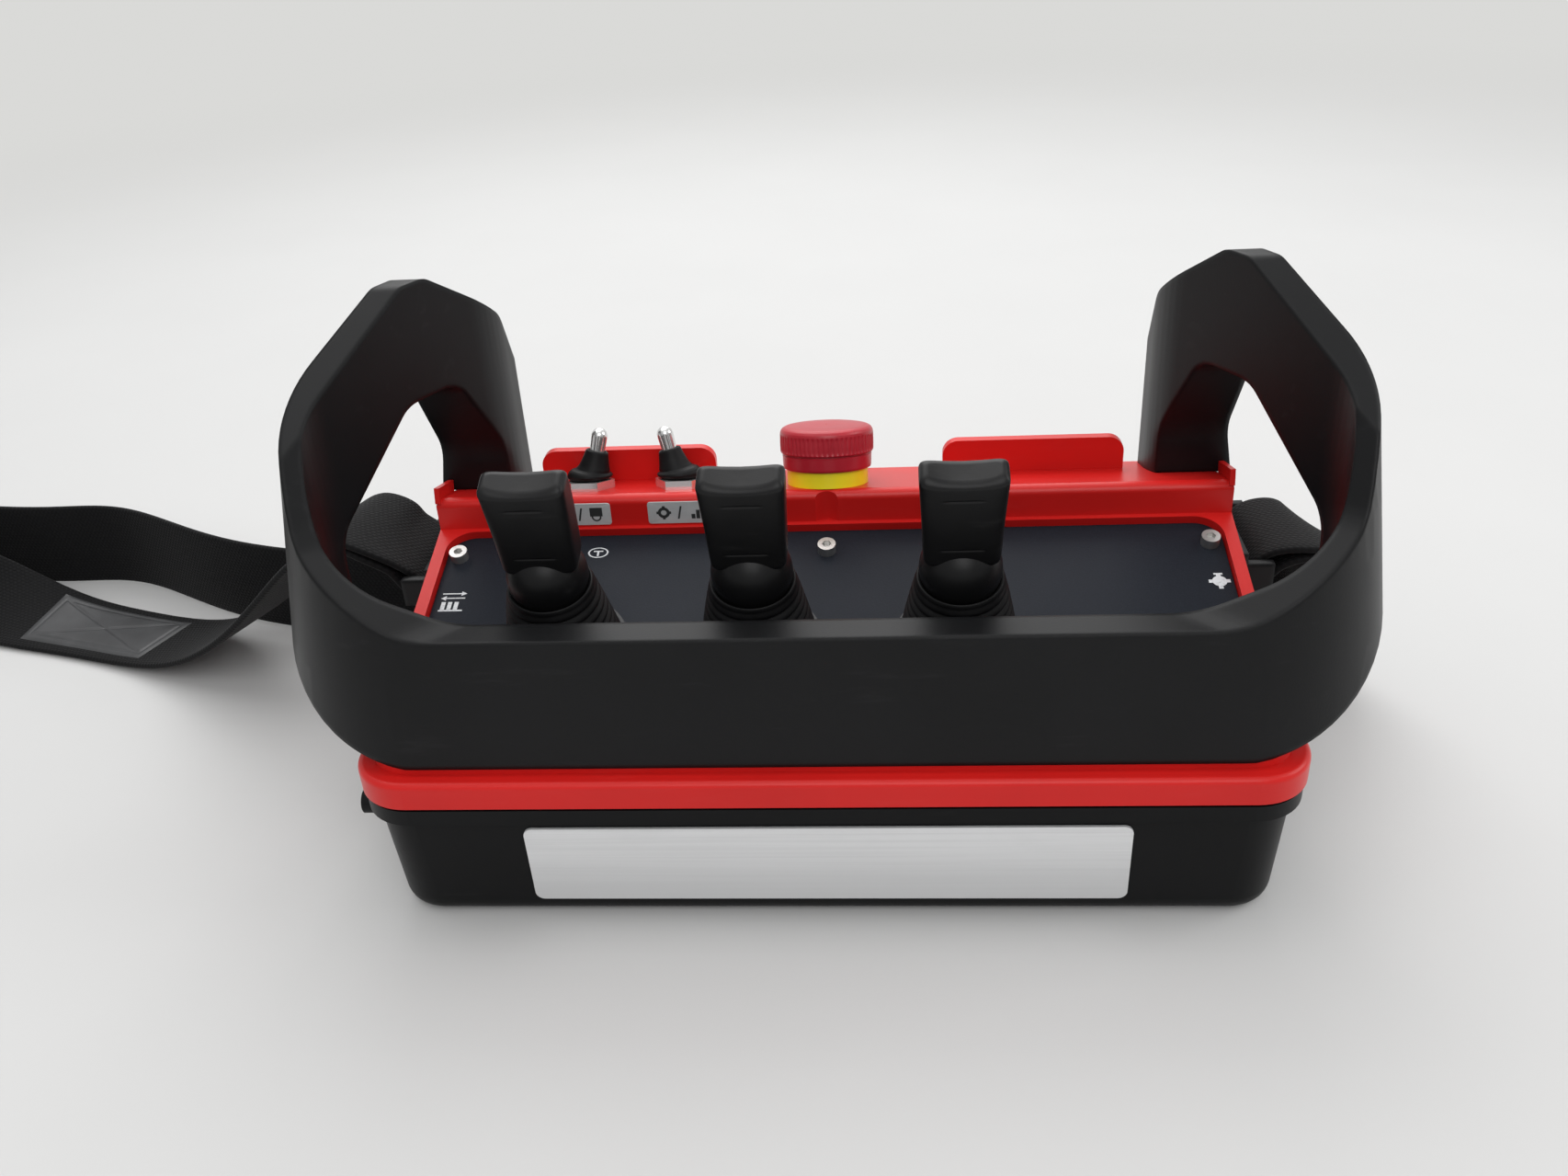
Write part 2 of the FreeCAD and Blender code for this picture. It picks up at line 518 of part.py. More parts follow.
def upright(y, far):
    """Chooses the two upright edges whose feet stand at a point of the plan and at its mirror image."""
    def test(edge):
        low = min((vertex.Point for vertex in edge.Vertexes), key=lambda point: point.z)
        return edge.BoundBox.ZLength > number("guard_band_top") and abs(low.y - number(y)) < 0.05 and (
            abs(abs(low.x) - number(far)) < 0.05)
    return test


behind = "(%s + case_depth)" % rear_y
block = body("guard_outer")
pad(block, sketch(block, "guard_outer_plan", "XY_Plane",
                  mirrored([(corner_low, front_low), (leg_low, knee_low), (leg_low, behind)])), hoop_tall)
rounded(block, "guard_outer_bend", "guard_corner", upright(front_low, corner_low))
rounded(block, "guard_outer_knee", "guard_knee_corner", upright(knee_low, leg_low))
drafted(block, "guard_outer_draft", "guard_draft")
room = body("guard_inner")
pad(room, sketch(room, "guard_inner_plan", "XY_Plane",
                 mirrored([(corner_in, back_y), (leg_in, knee_y), (leg_in, behind)])), hoop_tall)
rounded(room, "guard_inner_bend", "guard_inner_corner", upright(back_y, corner_in))
rounded(room, "guard_inner_knee", "guard_knee_corner", upright(knee_y, leg_in))
hoop = cut("guard_hoop", block, [room])

arch_low = fore("arch_front")
ahead = "(%s - guard_corner)" % front_low
cheek_slope = "((guard_top - guard_cheek_top) / (guard_peak_front - guard_cheek))"
guard_profile = {
    "toe": (ahead, slope(ahead, "guard_float")),
    "arch_foot": (arch_low, slope(arch_low, "guard_float")),
    "arch_sill": (arch_low, "arch_front_top"),
    "arch_fore": (fore("arch_peak_front"), "arch_peak_top"),
    "arch_aft": (aft("arch_peak_rear"), "arch_peak_top"),
    "arch_knee": (aft("arch_rear"), "arch_rear_low"),
    "leg_fore": (aft("arch_rear"), fall(aft("arch_rear"))),
    "leg_aft": (rear_y, fall(rear_y)),
    "leg_top": (rear_y, "guard_rear_top"),
    "shoulder": (aft("guard_shoulder"), "guard_shoulder_top"),
    "peak_aft": (aft("guard_peak_rear"), "guard_top"),
    "peak_fore": (fore("guard_peak_front"), "guard_top"),
    "brow": (ahead, "(guard_cheek_top - (%s - %s) * %s)" % (fore("guard_cheek"), ahead, cheek_slope)),
}
flank = body("guard_flank")
pad(flank, sketch(flank, "guard_side", "YZ_Plane", list(guard_profile.values())), "2 * " + corner_low,
    both=True)
for spot, bend in {
        "arch_foot": "arch_foot_bend", "arch_sill": "arch_sill_bend", "arch_fore": "arch_peak_bend",
        "arch_aft": "arch_peak_bend", "arch_knee": "arch_knee_bend", "shoulder": "guard_shoulder_bend",
        "peak_aft": "guard_peak_bend", "peak_fore": "guard_peak_bend"}.items():
    y, z = (number(text) for text in guard_profile[spot])
    rounded(flank, "guard_" + spot, bend, lambda edge: near(edge, y, z))
# The band's top climbs round each bend, so its outline runs square to the bend's middle.
climb_end = "(guard_rise_cheek + (%s - guard_rise_cheek_top) / tan(guard_rise_slope))" % hoop_tall
climb = {
    "front_low": ("-case_width", "tub_height"), "rear_low": ("case_width", "tub_height"),
    "rear_high": ("case_width", hoop_tall), "peak": (climb_end, hoop_tall),
    "cheek": ("guard_rise_cheek", "guard_rise_cheek_top"), "bend": ("guard_rise_bend", "guard_rise_bend_top"),
    "lead": ("-guard_rise_lead", "guard_band_top"), "front_high": ("-case_width", "guard_band_top")}
turn_x = "(case_width / 2 - guard_turn_inset)"
climbs = []
for name, x, turn in (("left", "-" + turn_x, "45"), ("right", turn_x, "-45")):
    wedge = body("guard_climb_" + name)
    pad(wedge, sketch(wedge, "guard_climb_side_" + name, "YZ_Plane", list(climb.values())), "2 * case_width",
        both=True)
    for spot in ("bend", "lead"):
        y, z = (number(text) for text in climb[spot])
        rounded(wedge, "guard_%s_%s" % (spot, name), "guard_turn_bend", lambda edge: near(edge, y, z))
    climbs.append(place(wedge, (x, fore("guard_turn_back"), "0"), turn, (0, 0, 1)))
guard_form = common("guard_form", common("guard_arched", hoop, flank), fuse("guard_climbs", climbs))
feet = [box("guard_foot_%d" % i, "guard_foot_width", "guard_foot_deep", "guard_float + guard_foot_sink",
            deck(x, foot_back, "0"), "deck_tilt") for i, x in enumerate(foot_spots)]
sockets = [cylinder("foot_socket_%d" % i, "guard_screw", "guard_screw_depth", deck(x, foot_back, "0"),
                    "deck_tilt")
           for i, x in enumerate(foot_spots)]
sockets += [cylinder("leg_socket_%d" % i, "guard_screw", "guard_screw_depth",
                     console(x, "leg_screw_back", "0"), "-console_tilt") for i, x in enumerate(leg_spots)]
keep("guard", cut("guard_bored", fuse("guard_footed", [guard_form] + feet), sockets))
screws = []
for i, x in enumerate(foot_spots):
    reach = "panel_thick + cover_wall + guard_screw_depth - screw_gap"
    screw = cap_screw("foot_screw_%d" % i, "guard_screw_head", "guard_screw_head_tall",
                      "guard_screw - thread_play", reach, "cap_socket")
    screws.append(place(screw, deck(x, foot_back, "-panel_thick - cover_wall"), "180 + deck_tilt"))
for i, x in enumerate(leg_spots):
    reach = "cover_wall + guard_screw_depth - screw_gap"
    screw = cap_screw("leg_screw_%d" % i, "guard_screw_head", "guard_screw_head_tall",
                      "guard_screw - thread_play", reach, "cap_socket")
    screws.append(place(screw, console(x, "leg_screw_back", "-cover_wall"), "180 - console_tilt"))
keep("guard_screws", moved("guard_screw_set", screws, ("0", "0", "0")))

# Joysticks: a dished paddle over a round knuckle, on a steel shaft that pivots in a gimbal below the panel.
gimbals, pins, springs, boards, collars = [], [], [], [], []
for i, x in enumerate(stick_x):
    tag = "_%d" % (i + 1)
    stand = deck(x, "stick_back", "0")
    paddle = body("paddle_blank" + tag)
    low, high = "stick_height - paddle_tall", "stick_height"
    waist = "stick_height - paddle_tall / 3"
    outline = [("-paddle_neck / 2", low), ("paddle_neck / 2", low), ("paddle_width / 2", waist),
               ("paddle_width / 2 - paddle_draw", high), ("-paddle_width / 2 + paddle_draw", high),
               ("-paddle_width / 2", waist)]
    pad(paddle, sketch(paddle, "paddle_outline" + tag, "XZ_Plane", outline), "paddle_depth", both=True)
    rounded(paddle, "paddle_edges" + tag, "paddle_edge", lambda edge: along(edge, (1, 0, 0))
            or edge.BoundBox.YLength < 0.01)
    dish = cylinder("paddle_dish" + tag, "2 * paddle_dish", "2 * paddle_depth",
                    ("0", "paddle_depth", "stick_height + paddle_dish - paddle_dish_depth"), "90")
    knuckle = doc.addObject("Part::Sphere", "knuckle" + tag)
    bind(knuckle, Radius="knuckle_radius")
    place(knuckle, ("0", "0", "knuckle_low + knuckle_radius"))
    socket = cylinder("paddle_socket" + tag, "shaft_diameter", "stick_height / 2 + pivot_drop",
                      ("0", "0", "-pivot_drop"))
    grip = cut("paddle_carved" + tag, fuse("paddle_whole" + tag, [paddle, knuckle]), [dish, socket])
    keep("paddle" + tag, place(grip, stand, "deck_tilt"))
    stem = cylinder("shaft_stem" + tag, "shaft_diameter", "stick_height / 2 + pivot_drop",
                    ("0", "0", "-pivot_drop"))
    hub = cylinder("shaft_hub" + tag, "hub_diameter", "gimbal_side / 3",
                   ("-gimbal_side / 6", "0", "-pivot_drop"), "90", (0, 1, 0))
    bore = cylinder("shaft_bore" + tag, "pin_diameter + 2 * pin_play", "gimbal_side",
                    ("-gimbal_side / 2", "0", "-pivot_drop"), "90", (0, 1, 0))
    lever = cut("shaft_carved" + tag, fuse("shaft_whole" + tag, [stem, hub]), [bore])
    keep("shaft" + tag, place(lever, stand, "deck_tilt"))
    boot = body("boot_turned" + tag)
    shrink, rise = "(boot_base - boot_shoulder) / 6", "(boot_height - boot_roll) / 3"
    outer = [("boot_base / 2", "collar_thick")]
    for fold in ("0", "1", "2"):
        start, low = "boot_base / 2 - %s * %s" % (fold, shrink), "collar_thick + %s * %s" % (fold, rise)
        outer.append((start + " - boot_fold", "%s + %s / 3" % (low, rise)))
        outer.append((start + " - %s / 2" % shrink, "%s + %s * 3 / 4" % (low, rise)))
    outer.append(("boot_shoulder / 2", "collar_thick + boot_height - boot_roll"))
    outer.append(("boot_mouth / 2", "collar_thick + boot_height"))
    inner = [("%s - boot_wall" % a, b) for a, b in reversed(outer)]
    turned = sketch(boot, "boot_profile" + tag, "XZ_Plane", outer + inner)
    spin = boot.newObject("PartDesign::Revolution", "boot_spin" + tag)
    spin.Profile = turned
    spin.ReferenceAxis = (turned, ["V_Axis"])
    spin.Angle = 360
    doc.recompute()
    keep("boot" + tag, place(boot, stand, "deck_tilt"))
    collar = cylinder("collar_disc" + tag, "collar_diameter", "collar_thick")
    hole = cylinder("collar_hole" + tag, "collar_bore", "collar_thick")
    collars.append(place(cut("collar" + tag, collar, [hole]), stand, "deck_tilt"))
    case = slab("gimbal_case" + tag, "gimbal_side", "gimbal_side", "gimbal_height", "gimbal_wall",
                "-panel_thick - gimbal_height")
    well = slab("gimbal_well" + tag, "gimbal_side - 2 * gimbal_wall", "gimbal_side - 2 * gimbal_wall",
                "gimbal_height - gimbal_wall", "gimbal_wall / 2", "-panel_thick - gimbal_height + gimbal_wall")
    pin_hole = cylinder("gimbal_bore" + tag, "pin_diameter", "gimbal_side",
                        ("-gimbal_side / 2", "0", "-pivot_drop"), "90", (0, 1, 0))
    gimbals.append(place(cut("gimbal" + tag, case, [well, pin_hole]), stand, "deck_tilt"))
    pin = cylinder("pin" + tag, "pin_diameter", "gimbal_side",
                   ("-gimbal_side / 2", "0", "-pivot_drop"), "90", (0, 1, 0))
    pins.append(moved("pin_placed" + tag, [pin], stand, "deck_tilt"))
    coil = doc.addObject("Part::Torus", "spring" + tag)
    bind(coil, Radius1="spring_radius", Radius2="spring_wire / 2")
    place(coil, ("-gimbal_side / 2 + gimbal_wall + spring_wire / 2", "0", "-pivot_drop"), "90", (0, 1, 0))
    springs.append(moved("spring_placed" + tag, [coil], stand, "deck_tilt"))
    card = box("sensor_card" + tag, "sensor_side", "sensor_side", "sensor_thick",
               ("0", "0", "-panel_thick - gimbal_height - sensor_thick"))
    boards.append(moved("sensor_placed" + tag, [card], stand, "deck_tilt"))
keep("boot_collars", moved("collar_set", collars, ("0", "0", "0")))
keep("gimbal_cases", moved("gimbal_set", gimbals, ("0", "0", "0")))
keep("pivot_pins", moved("pin_set", pins, ("0", "0", "0")))
keep("return_springs", moved("spring_set", springs, ("0", "0", "0")))
keep("sensor_cards", moved("sensor_set", boards, ("0", "0", "0")))

# Toggle switches: a threaded body clamped by a hexagon nut, with a bat that tips left and right.
switches, nuts = [], []
for side_name, tag, lean in (("toggle_left", "_1", "bat_rest"), ("toggle_right", "_2", "-bat_rest")):
    stand = console(side_name, "toggle_back", "0")
    block = box("toggle_block" + tag, "toggle_body_wide", "toggle_body_long", "toggle_body_tall",
                ("0", "0", "-cover_wall - toggle_body_tall"))
    bush = cylinder("toggle_bush" + tag, "toggle_thread", "cover_wall + nut_thick", ("0", "0", "-cover_wall"))
    throat = doc.addObject("Part::Cone", "toggle_throat" + tag)
    bind(throat, Radius1="bat_root + pin_play", Radius2="toggle_thread / 2 - toggle_wall",
         Height="cover_wall + nut_thick")
    place(throat, ("0", "0", "-cover_wall"))
    ball_seat = doc.addObject("Part::Sphere", "toggle_seat" + tag)
    bind(ball_seat, Radius="bat_tip + bat_play")
    place(ball_seat, ("0", "0", "-cover_wall"))
    whole = cut("toggle_case" + tag, fuse("toggle_raw" + tag, [block, bush]), [throat, ball_seat])
    switches.append(place(whole, stand, "-console_tilt"))
    hexagon = doc.addObject("Part::Prism", "toggle_hex" + tag)
    hexagon.Polygon = 6
    bind(hexagon, Circumradius="nut_flats / sqrt(3)", Height="nut_thick")
    nut_bore = cylinder("toggle_nut_bore" + tag, "toggle_thread", "nut_thick")
    nuts.append(place(cut("toggle_nut" + tag, hexagon, [nut_bore]), stand, "-console_tilt"))
    rod = doc.addObject("Part::Cone", "bat_rod" + tag)
    bind(rod, Radius1="bat_root", Radius2="bat_tip", Height="cover_wall + nut_thick + bat_length - bat_tip")
    tip = doc.addObject("Part::Sphere", "bat_end" + tag)
    bind(tip, Radius="bat_tip")
    place(tip, ("0", "0", "cover_wall + nut_thick + bat_length - bat_tip"))
    ball = doc.addObject("Part::Sphere", "bat_ball" + tag)
    bind(ball, Radius="bat_tip")
    bat = fuse("bat_whole" + tag, [rod, tip, ball])
    leaned = moved("bat_leaned" + tag, [place(bat, ("0", "0", "0"), lean, (0, 1, 0))],
                   ("0", "0", "-cover_wall"))
    keep("toggle_bat" + tag, moved("bat_set" + tag, [leaned], stand, "-console_tilt"))
    cone = doc.addObject("Part::Cone", "cone" + tag)
    bind(cone, Radius1="cone_base", Radius2="cone_top + cone_wall", Height="cone_tall")
    cone_hole = doc.addObject("Part::Cone", "cone_hole" + tag)
    bind(cone_hole, Radius1="cone_base - cone_wall", Radius2="cone_top + bat_play", Height="cone_tall")
    hollow_cone = cut("cone_shell" + tag, cone, [cone_hole])
    shift = "(nut_thick + cover_wall) * sin(%s) * cone_shift" % lean
    slanted = place(hollow_cone, (shift, "0", "nut_thick + boot_gap"), "%s * cone_lean" % lean, (0, 1, 0))
    keep("toggle_boot" + tag, moved("cone_set" + tag, [slanted], stand, "-console_tilt"))
keep("toggle_switches", moved("switch_set", switches, ("0", "0", "0")))
keep("toggle_nuts", moved("nut_set", nuts, ("0", "0", "0")))

# Emergency stop: a mushroom head that presses down and twists free, over a yellow ring.
stand = console("0", "estop_back", "0")
ring_top = "(estop_ring_tall + estop_overlap)"
yellow = cut("estop_ring_turned", cylinder("estop_ring_tube", "estop_ring", ring_top),
             [cylinder("estop_ring_bore", "estop_stem + 2 * estop_gap", ring_top)])
keep("estop_ring", moved("estop_ring_placed", [yellow], stand, "-console_tilt"))
mushroom = body("estop_mushroom")
head_edge, head_hole, skirt = "estop_head / 2", "estop_stem / 2 + pin_play", "estop_ring / 2 + estop_gap"
head_low = "estop_ring_tall"
head_top = "estop_ring_tall + estop_head_tall"
roof = "%s + estop_travel + estop_gap" % ring_top
cap_profile = [(head_hole, roof), (skirt, roof), (skirt, head_low), (head_edge + " - estop_edge / 2", head_low),
               (head_edge, head_low + " + estop_edge"), (head_edge, head_top + " - estop_crown - estop_edge"),
               (head_edge + " - estop_edge", head_top + " - estop_crown"), (head_hole, head_top)]
turned = sketch(mushroom, "estop_profile", "XZ_Plane", cap_profile)
spin = mushroom.newObject("PartDesign::Revolution", "estop_spin")
spin.Profile = turned
spin.ReferenceAxis = (turned, ["V_Axis"])
spin.Angle = 360
doc.recompute()
keep("estop_head", place(mushroom, stand, "-console_tilt"))
stem_low = "-cover_wall - estop_nut_thick"
stem = cylinder("estop_stem_rod", "estop_stem", head_top + " + cover_wall + estop_nut_thick",
                ("0", "0", stem_low))
keep("estop_stem", moved("estop_stem_placed", [stem], stand, "-console_tilt"))
barrel = cylinder("estop_barrel", "estop_thread", "cover_wall + estop_nut_thick + estop_seat",
                  ("0", "0", stem_low + " - estop_seat"))
block = box("estop_box", "estop_block_side", "estop_block_deep", "estop_block_tall",
            ("0", "estop_block_back", stem_low + " - estop_seat - estop_block_tall"))
shaft_room = cylinder("estop_room", "estop_stem + 2 * pin_play", "cutter",
                      ("0", "0", stem_low + " - estop_travel - estop_gap"))
works = cut("estop_works", fuse("estop_body", [barrel, block]), [shaft_room])
keep("estop_block", moved("estop_block_placed", [works], stand, "-console_tilt"))
clamp = cut("estop_clamp", cylinder("estop_clamp_disc", "estop_nut", "estop_nut_thick", ("0", "0", stem_low)),
            [cylinder("estop_clamp_bore", "estop_thread", "estop_nut_thick", ("0", "0", stem_low))])
keep("estop_nut", moved("estop_nut_placed", [clamp], stand, "-console_tilt"))

# Side push button in the tub's wall, with its switch behind it.
cap = cylinder("button_rod", "button_diameter", "button_out + tub_wall + button_stub",
               ("-%s - button_out" % wall_out, button_y, "button_height"), "90", (0, 1, 0))
keep("side_button", cap)
case = box("button_case", "button_body_long", "button_body", "button_body",
           (switch_x, button_y, "button_height - button_body / 2"))
keep("button_switch", case)

# Case screws, up through the tub's posts into the cover.
screws = []
for i, (x, y) in enumerate(corners):
    reach = post_top(y, "case_screw_bite") + " - case_counterbore - screw_gap"
    screw = cap_screw("case_screw_%d" % i, "case_screw_head", "case_screw_head_tall",
                      "case_screw - thread_play", reach, "cap_socket")
    screws.append(place(screw, (x, y, "case_counterbore"), "180"))
keep("case_screws", moved("case_screw_set", screws, ("0", "0", "0")))

# Radio board on its posts, antenna and battery pack on the tub's floor.
card = box("radio_card", "board_long", "board_wide", "board_thick", ("board_middle", "0", "board_lift"))
keep("radio_board", card)
antenna_spot = ("board_middle - antenna_long / 2", "board_wide / 4",
                "board_lift + board_thick + antenna_radius")
keep("antenna", cylinder("antenna_rod", "2 * antenna_radius", "antenna_long", antenna_spot, "90", (0, 1, 0)))
keep("battery_pack", box("battery_cells", "battery_long", "battery_wide", "battery_tall",
                         ("battery_middle", "0", "tub_wall")))

# Strap lugs on the cover's side walls: a plate with two arms that hold a bar.
lugs = []
lug_y = "(case_depth / 2 - lug_back)"
arm_gap = "(strap_wide + 2 * lug_play)"
for tag, hand in (("left", "-1"), ("right", "1")):
    back = box("lug_plate_" + tag, "lug_wall", arm_gap + " + 2 * lug_arm", "lug_plate_tall",
               ("%s * (%s + lug_wall / 2)" % (hand, wall_side), lug_y, "lug_height - lug_plate_tall / 2"))
    arm_x = "%s * (%s + (lug_reach + lug_bar / 2) / 2)" % (hand, wall_side)
    arms = [box("lug_arm_%s_%d" % (tag, i), "lug_reach + lug_bar / 2", "lug_arm", "lug_arm_tall",
                (arm_x, "%s %s (%s + lug_arm) / 2" % (lug_y, sign, arm_gap), "lug_height - lug_arm_tall / 2"))
            for i, sign in enumerate("-+")]
    bar_spot = ("%s * (%s + lug_reach)" % (hand, wall_side), "%s + (%s + lug_arm) / 2" % (lug_y, arm_gap),
                "lug_height")
    bar = cylinder("lug_bar_" + tag, "lug_bar", arm_gap + " + lug_arm", bar_spot, "90")
    lugs.append(fuse("lug_" + tag, [back, bar] + arms))
keep("strap_lugs", moved("lug_set", lugs, ("0", "0", "0")))

# Shoulder strap: webbing that leaves the left bar, lies flat, turns on edge and runs behind the case
# to the right bar. Each stop of the route is x, y, the height of the web's middle and its lean.
bar = number(wall_side + " + lug_reach + lug_bar / 2 + strap_thick / 2")
bar_y = number(lug_y)
bar_z = number("lug_height")
rear = number("case_depth / 2")
half_wide = number("strap_wide / 2")
half_thick = number("strap_thick / 2")


def lying(lean):
    """Height of the web's middle where it leans this much and its lower edge is just off the floor."""
    return number("strap_lift + strap_wide / 2 * sin(%s) + strap_thick / 2 * cos(%s)" % (lean, lean))


route = [(-bar, bar_y, bar_z, 0)]
route += [(-bar - out, bar_y + back, bar_z + up, 0) for out, back, up in (
    (7, 0, 10), (19, 4, 14), (34, 9, 5), (54, 17, -16), (76, 26, -37), (100, 36, -53))]
route += [(-bar - out, rear + back, lying(lean), lean) for out, back, lean in (
    (124, 9, 0), (152, 19, 0), (180, 27, 0), (206, 31, 5), (230, 34, 30), (248, 42, 60),
    (257, 55, 90), (254, 68, 90), (240, 71, 90), (216, 63, 90), (191, 64, 90), (169, 69, 90),
    (151, 61, 90), (119, 40, 90), (91, 27, 90), (56, 19, 90), (16, 15, 90))]
route += [(bar * share, rear + back, lying(90), 90) for share, back in (
    (-0.74, 16), (-0.3, 19), (0.22, 20), (0.7, 18))]
route += [(bar + 6, rear + 12, lying(90), 90), (bar + 34, rear + 1, lying(88), 88)]
route += [(bar + out, bar_y + back, bar_z + up, lean) for out, back, up, lean in (
    (45, 23, -36, 68), (41, 11, -22, 36), (28, 4, -6, 12), (14, 1, 4, 0), (4, 0, 4, 0))]
route += [(bar, bar_y, bar_z, 0)]
wires = []
for i, (x, y, z, lean) in enumerate(route):
    before, after = route[max(i - 1, 0)], route[min(i + 1, len(route) - 1)]
    run = Vector(after[0] - before[0], after[1] - before[1], after[2] - before[2]).normalize()
    level_way = Vector(-run.y, run.x, 0).normalize()
    turn = FreeCAD.Rotation(run, -lean)
    across = turn.multVec(level_way) * half_wide
    through = run.cross(across).normalize() * half_thick
    middle = Vector(x, y, z)
    upper = [middle + across + through, middle - across + through]
    lower = [middle - across - through, middle + across - through]
    wires.append(Part.makePolygon(upper + lower + upper[:1]))
strap = doc.addObject("Part::Feature", "strap_web")
strap.Shape = Part.makeLoft(wires, True, True)
keep("strap", strap)

# Name plate, bare, on the front of the tub.
plate = body("plate_blank")
outline = [("-plate_long / 2", "0"), ("plate_long / 2", "0"), ("plate_long / 2", "plate_tall"),
           ("-plate_long / 2", "plate_tall")]
pad(plate, sketch(plate, "plate_outline", "XZ_Plane", outline), "plate_thick")
rounded(plate, "plate_corners", "plate_corner", lambda edge: along(edge, (0, 1, 0)))
front_face = "(-(%s) / 2 + (tub_height - plate_low) * tan(tub_draft))" % tub_deep
keep("name_plate", place(plate, ("0", front_face, "plate_low"), "tub_draft"))

# Checks, then one file for each piece.
doc.recompute()
for thing in doc.Objects:
    if "Invalid" in thing.State or "Error" in thing.State:
        raise RuntimeError("%s failed: %s" % (thing.Name, thing.State))
os.makedirs("parts", exist_ok=True)
for thing in nodes:
    if thing.Shape.isNull() or not thing.Shape.isValid():
        raise RuntimeError("%s has no valid shape" % thing.Label)
    solids = thing.Shape.Solids
    print("%-18s %2d solid(s) %9.1f mm3" % (thing.Label, len(solids), thing.Shape.Volume))
    thing.Shape.exportStep("parts/%s.step" % thing.Label)
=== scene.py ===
import json
import bmesh
import bpy
import numpy as np
from mathutils import Matrix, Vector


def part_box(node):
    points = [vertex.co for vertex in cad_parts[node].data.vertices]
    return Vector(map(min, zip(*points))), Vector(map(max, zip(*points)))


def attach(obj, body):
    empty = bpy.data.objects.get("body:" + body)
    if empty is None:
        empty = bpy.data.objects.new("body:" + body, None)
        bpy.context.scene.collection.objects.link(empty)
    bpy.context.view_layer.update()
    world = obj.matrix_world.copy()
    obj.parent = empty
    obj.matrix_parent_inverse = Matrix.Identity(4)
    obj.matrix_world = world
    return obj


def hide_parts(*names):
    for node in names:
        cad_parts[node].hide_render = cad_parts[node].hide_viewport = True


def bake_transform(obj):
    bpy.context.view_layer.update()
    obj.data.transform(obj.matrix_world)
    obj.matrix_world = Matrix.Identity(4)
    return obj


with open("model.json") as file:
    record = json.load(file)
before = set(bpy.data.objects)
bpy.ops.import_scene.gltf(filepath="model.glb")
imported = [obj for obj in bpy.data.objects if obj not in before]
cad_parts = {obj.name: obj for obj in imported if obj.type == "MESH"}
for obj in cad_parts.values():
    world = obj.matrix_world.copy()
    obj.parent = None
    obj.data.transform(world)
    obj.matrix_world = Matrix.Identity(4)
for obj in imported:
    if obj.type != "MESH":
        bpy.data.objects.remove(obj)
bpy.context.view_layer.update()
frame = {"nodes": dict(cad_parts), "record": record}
nodes = frame["nodes"]
mm = 0.001
mergeGap = 1e-6  # points closer than this, in metres, become one
fullTurn = 2 * np.pi
bpy.context.scene.view_settings.view_transform = "Standard"
print("frame loaded,", len(nodes), "nodes")


# wraps one socket; an expression on values adds its Math nodes
class Wire:
    def __init__(self, tree, socket=None):
        self.tree = tree
        self.socket = socket

    # any node: its settings first, then its sockets by name or number
    def node(self, kind, settings=None, sockets=None, out=0):
        made = self.tree.nodes.new(kind)
        for key, value in (settings or {}).items():
            setattr(made, key, value)
        for key, value in (sockets or {}).items():
            if isinstance(value, Wire):
                self.tree.links.new(value.socket, made.inputs[key])
            else:
                made.inputs[key].default_value = value
        return Wire(self.tree, made.outputs[out])

    def calc(self, operation, *terms):
        return self.node("ShaderNodeMath", {"operation": operation}, dict(enumerate(terms)))

    def __add__(self, other):
        return self.calc("ADD", self, other)

    def __radd__(self, other):
        return self.calc("ADD", other, self)

    def __sub__(self, other):
        return self.calc("SUBTRACT", self, other)

    def __rsub__(self, other):
        return self.calc("SUBTRACT", other, self)

    def __mul__(self, other):
        return self.calc("MULTIPLY", self, other)

    def __rmul__(self, other):
        return self.calc("MULTIPLY", other, self)

    def __truediv__(self, other):
        return self.calc("DIVIDE", self, other)

    def __pow__(self, other):
        return self.calc("POWER", self, other)

    def __abs__(self):
        return self.calc("ABSOLUTE", self)

    def __lt__(self, other):
        return self.calc("LESS_THAN", self, other)

    def __gt__(self, other):
        return self.calc("GREATER_THAN", self, other)

    def sine(self):
        return self.calc("SINE", self)

    def floor(self):
        return self.calc("FLOOR", self)

    def least(self, other):
        return self.calc("MINIMUM", self, other)

    # the colour between two colours
    def tint(self, first, second):
        return self.node("ShaderNodeMix", {"data_type": "RGBA"}, {0: self, 6: first, 7: second}, 2)

    # smooth 0 to 1 as the value goes from low to high
    def ease(self, low, high):
        smooth = {"interpolation_type": "SMOOTHSTEP"}
        return self.node("ShaderNodeMapRange", smooth, {0: self, 1: low, 2: high})

    # noise on these coordinates, its size in metres
    def noise(self, size, detail=2.0, rough=0.5, stretch=(1, 1, 1)):
        spot = self.node("ShaderNodeMapping", None, {"Vector": self, "Scale": stretch})
        return self.node("ShaderNodeTexNoise", None, {
            "Vector": spot, "Scale": 1 / size, "Detail": detail, "Roughness": rough})

    # x, y and z of a vector
    def split(self):
        made = self.node("ShaderNodeSeparateXYZ", None, {0: self})
        return [Wire(self.tree, socket) for socket in made.socket.node.outputs]

    def into(self, key):
        self.tree.links.new(self.socket, self.tree.nodes["Principled BSDF"].inputs[key])

    # relief of this height, its depth in mm, on the shader's normal
    def emboss(self, strength, deep, under=None):
        sockets = {"Strength": strength, "Distance": deep * mm, "Height": self}
        if under:
            sockets["Normal"] = under
        self.node("ShaderNodeBump", None, sockets).into("Normal")


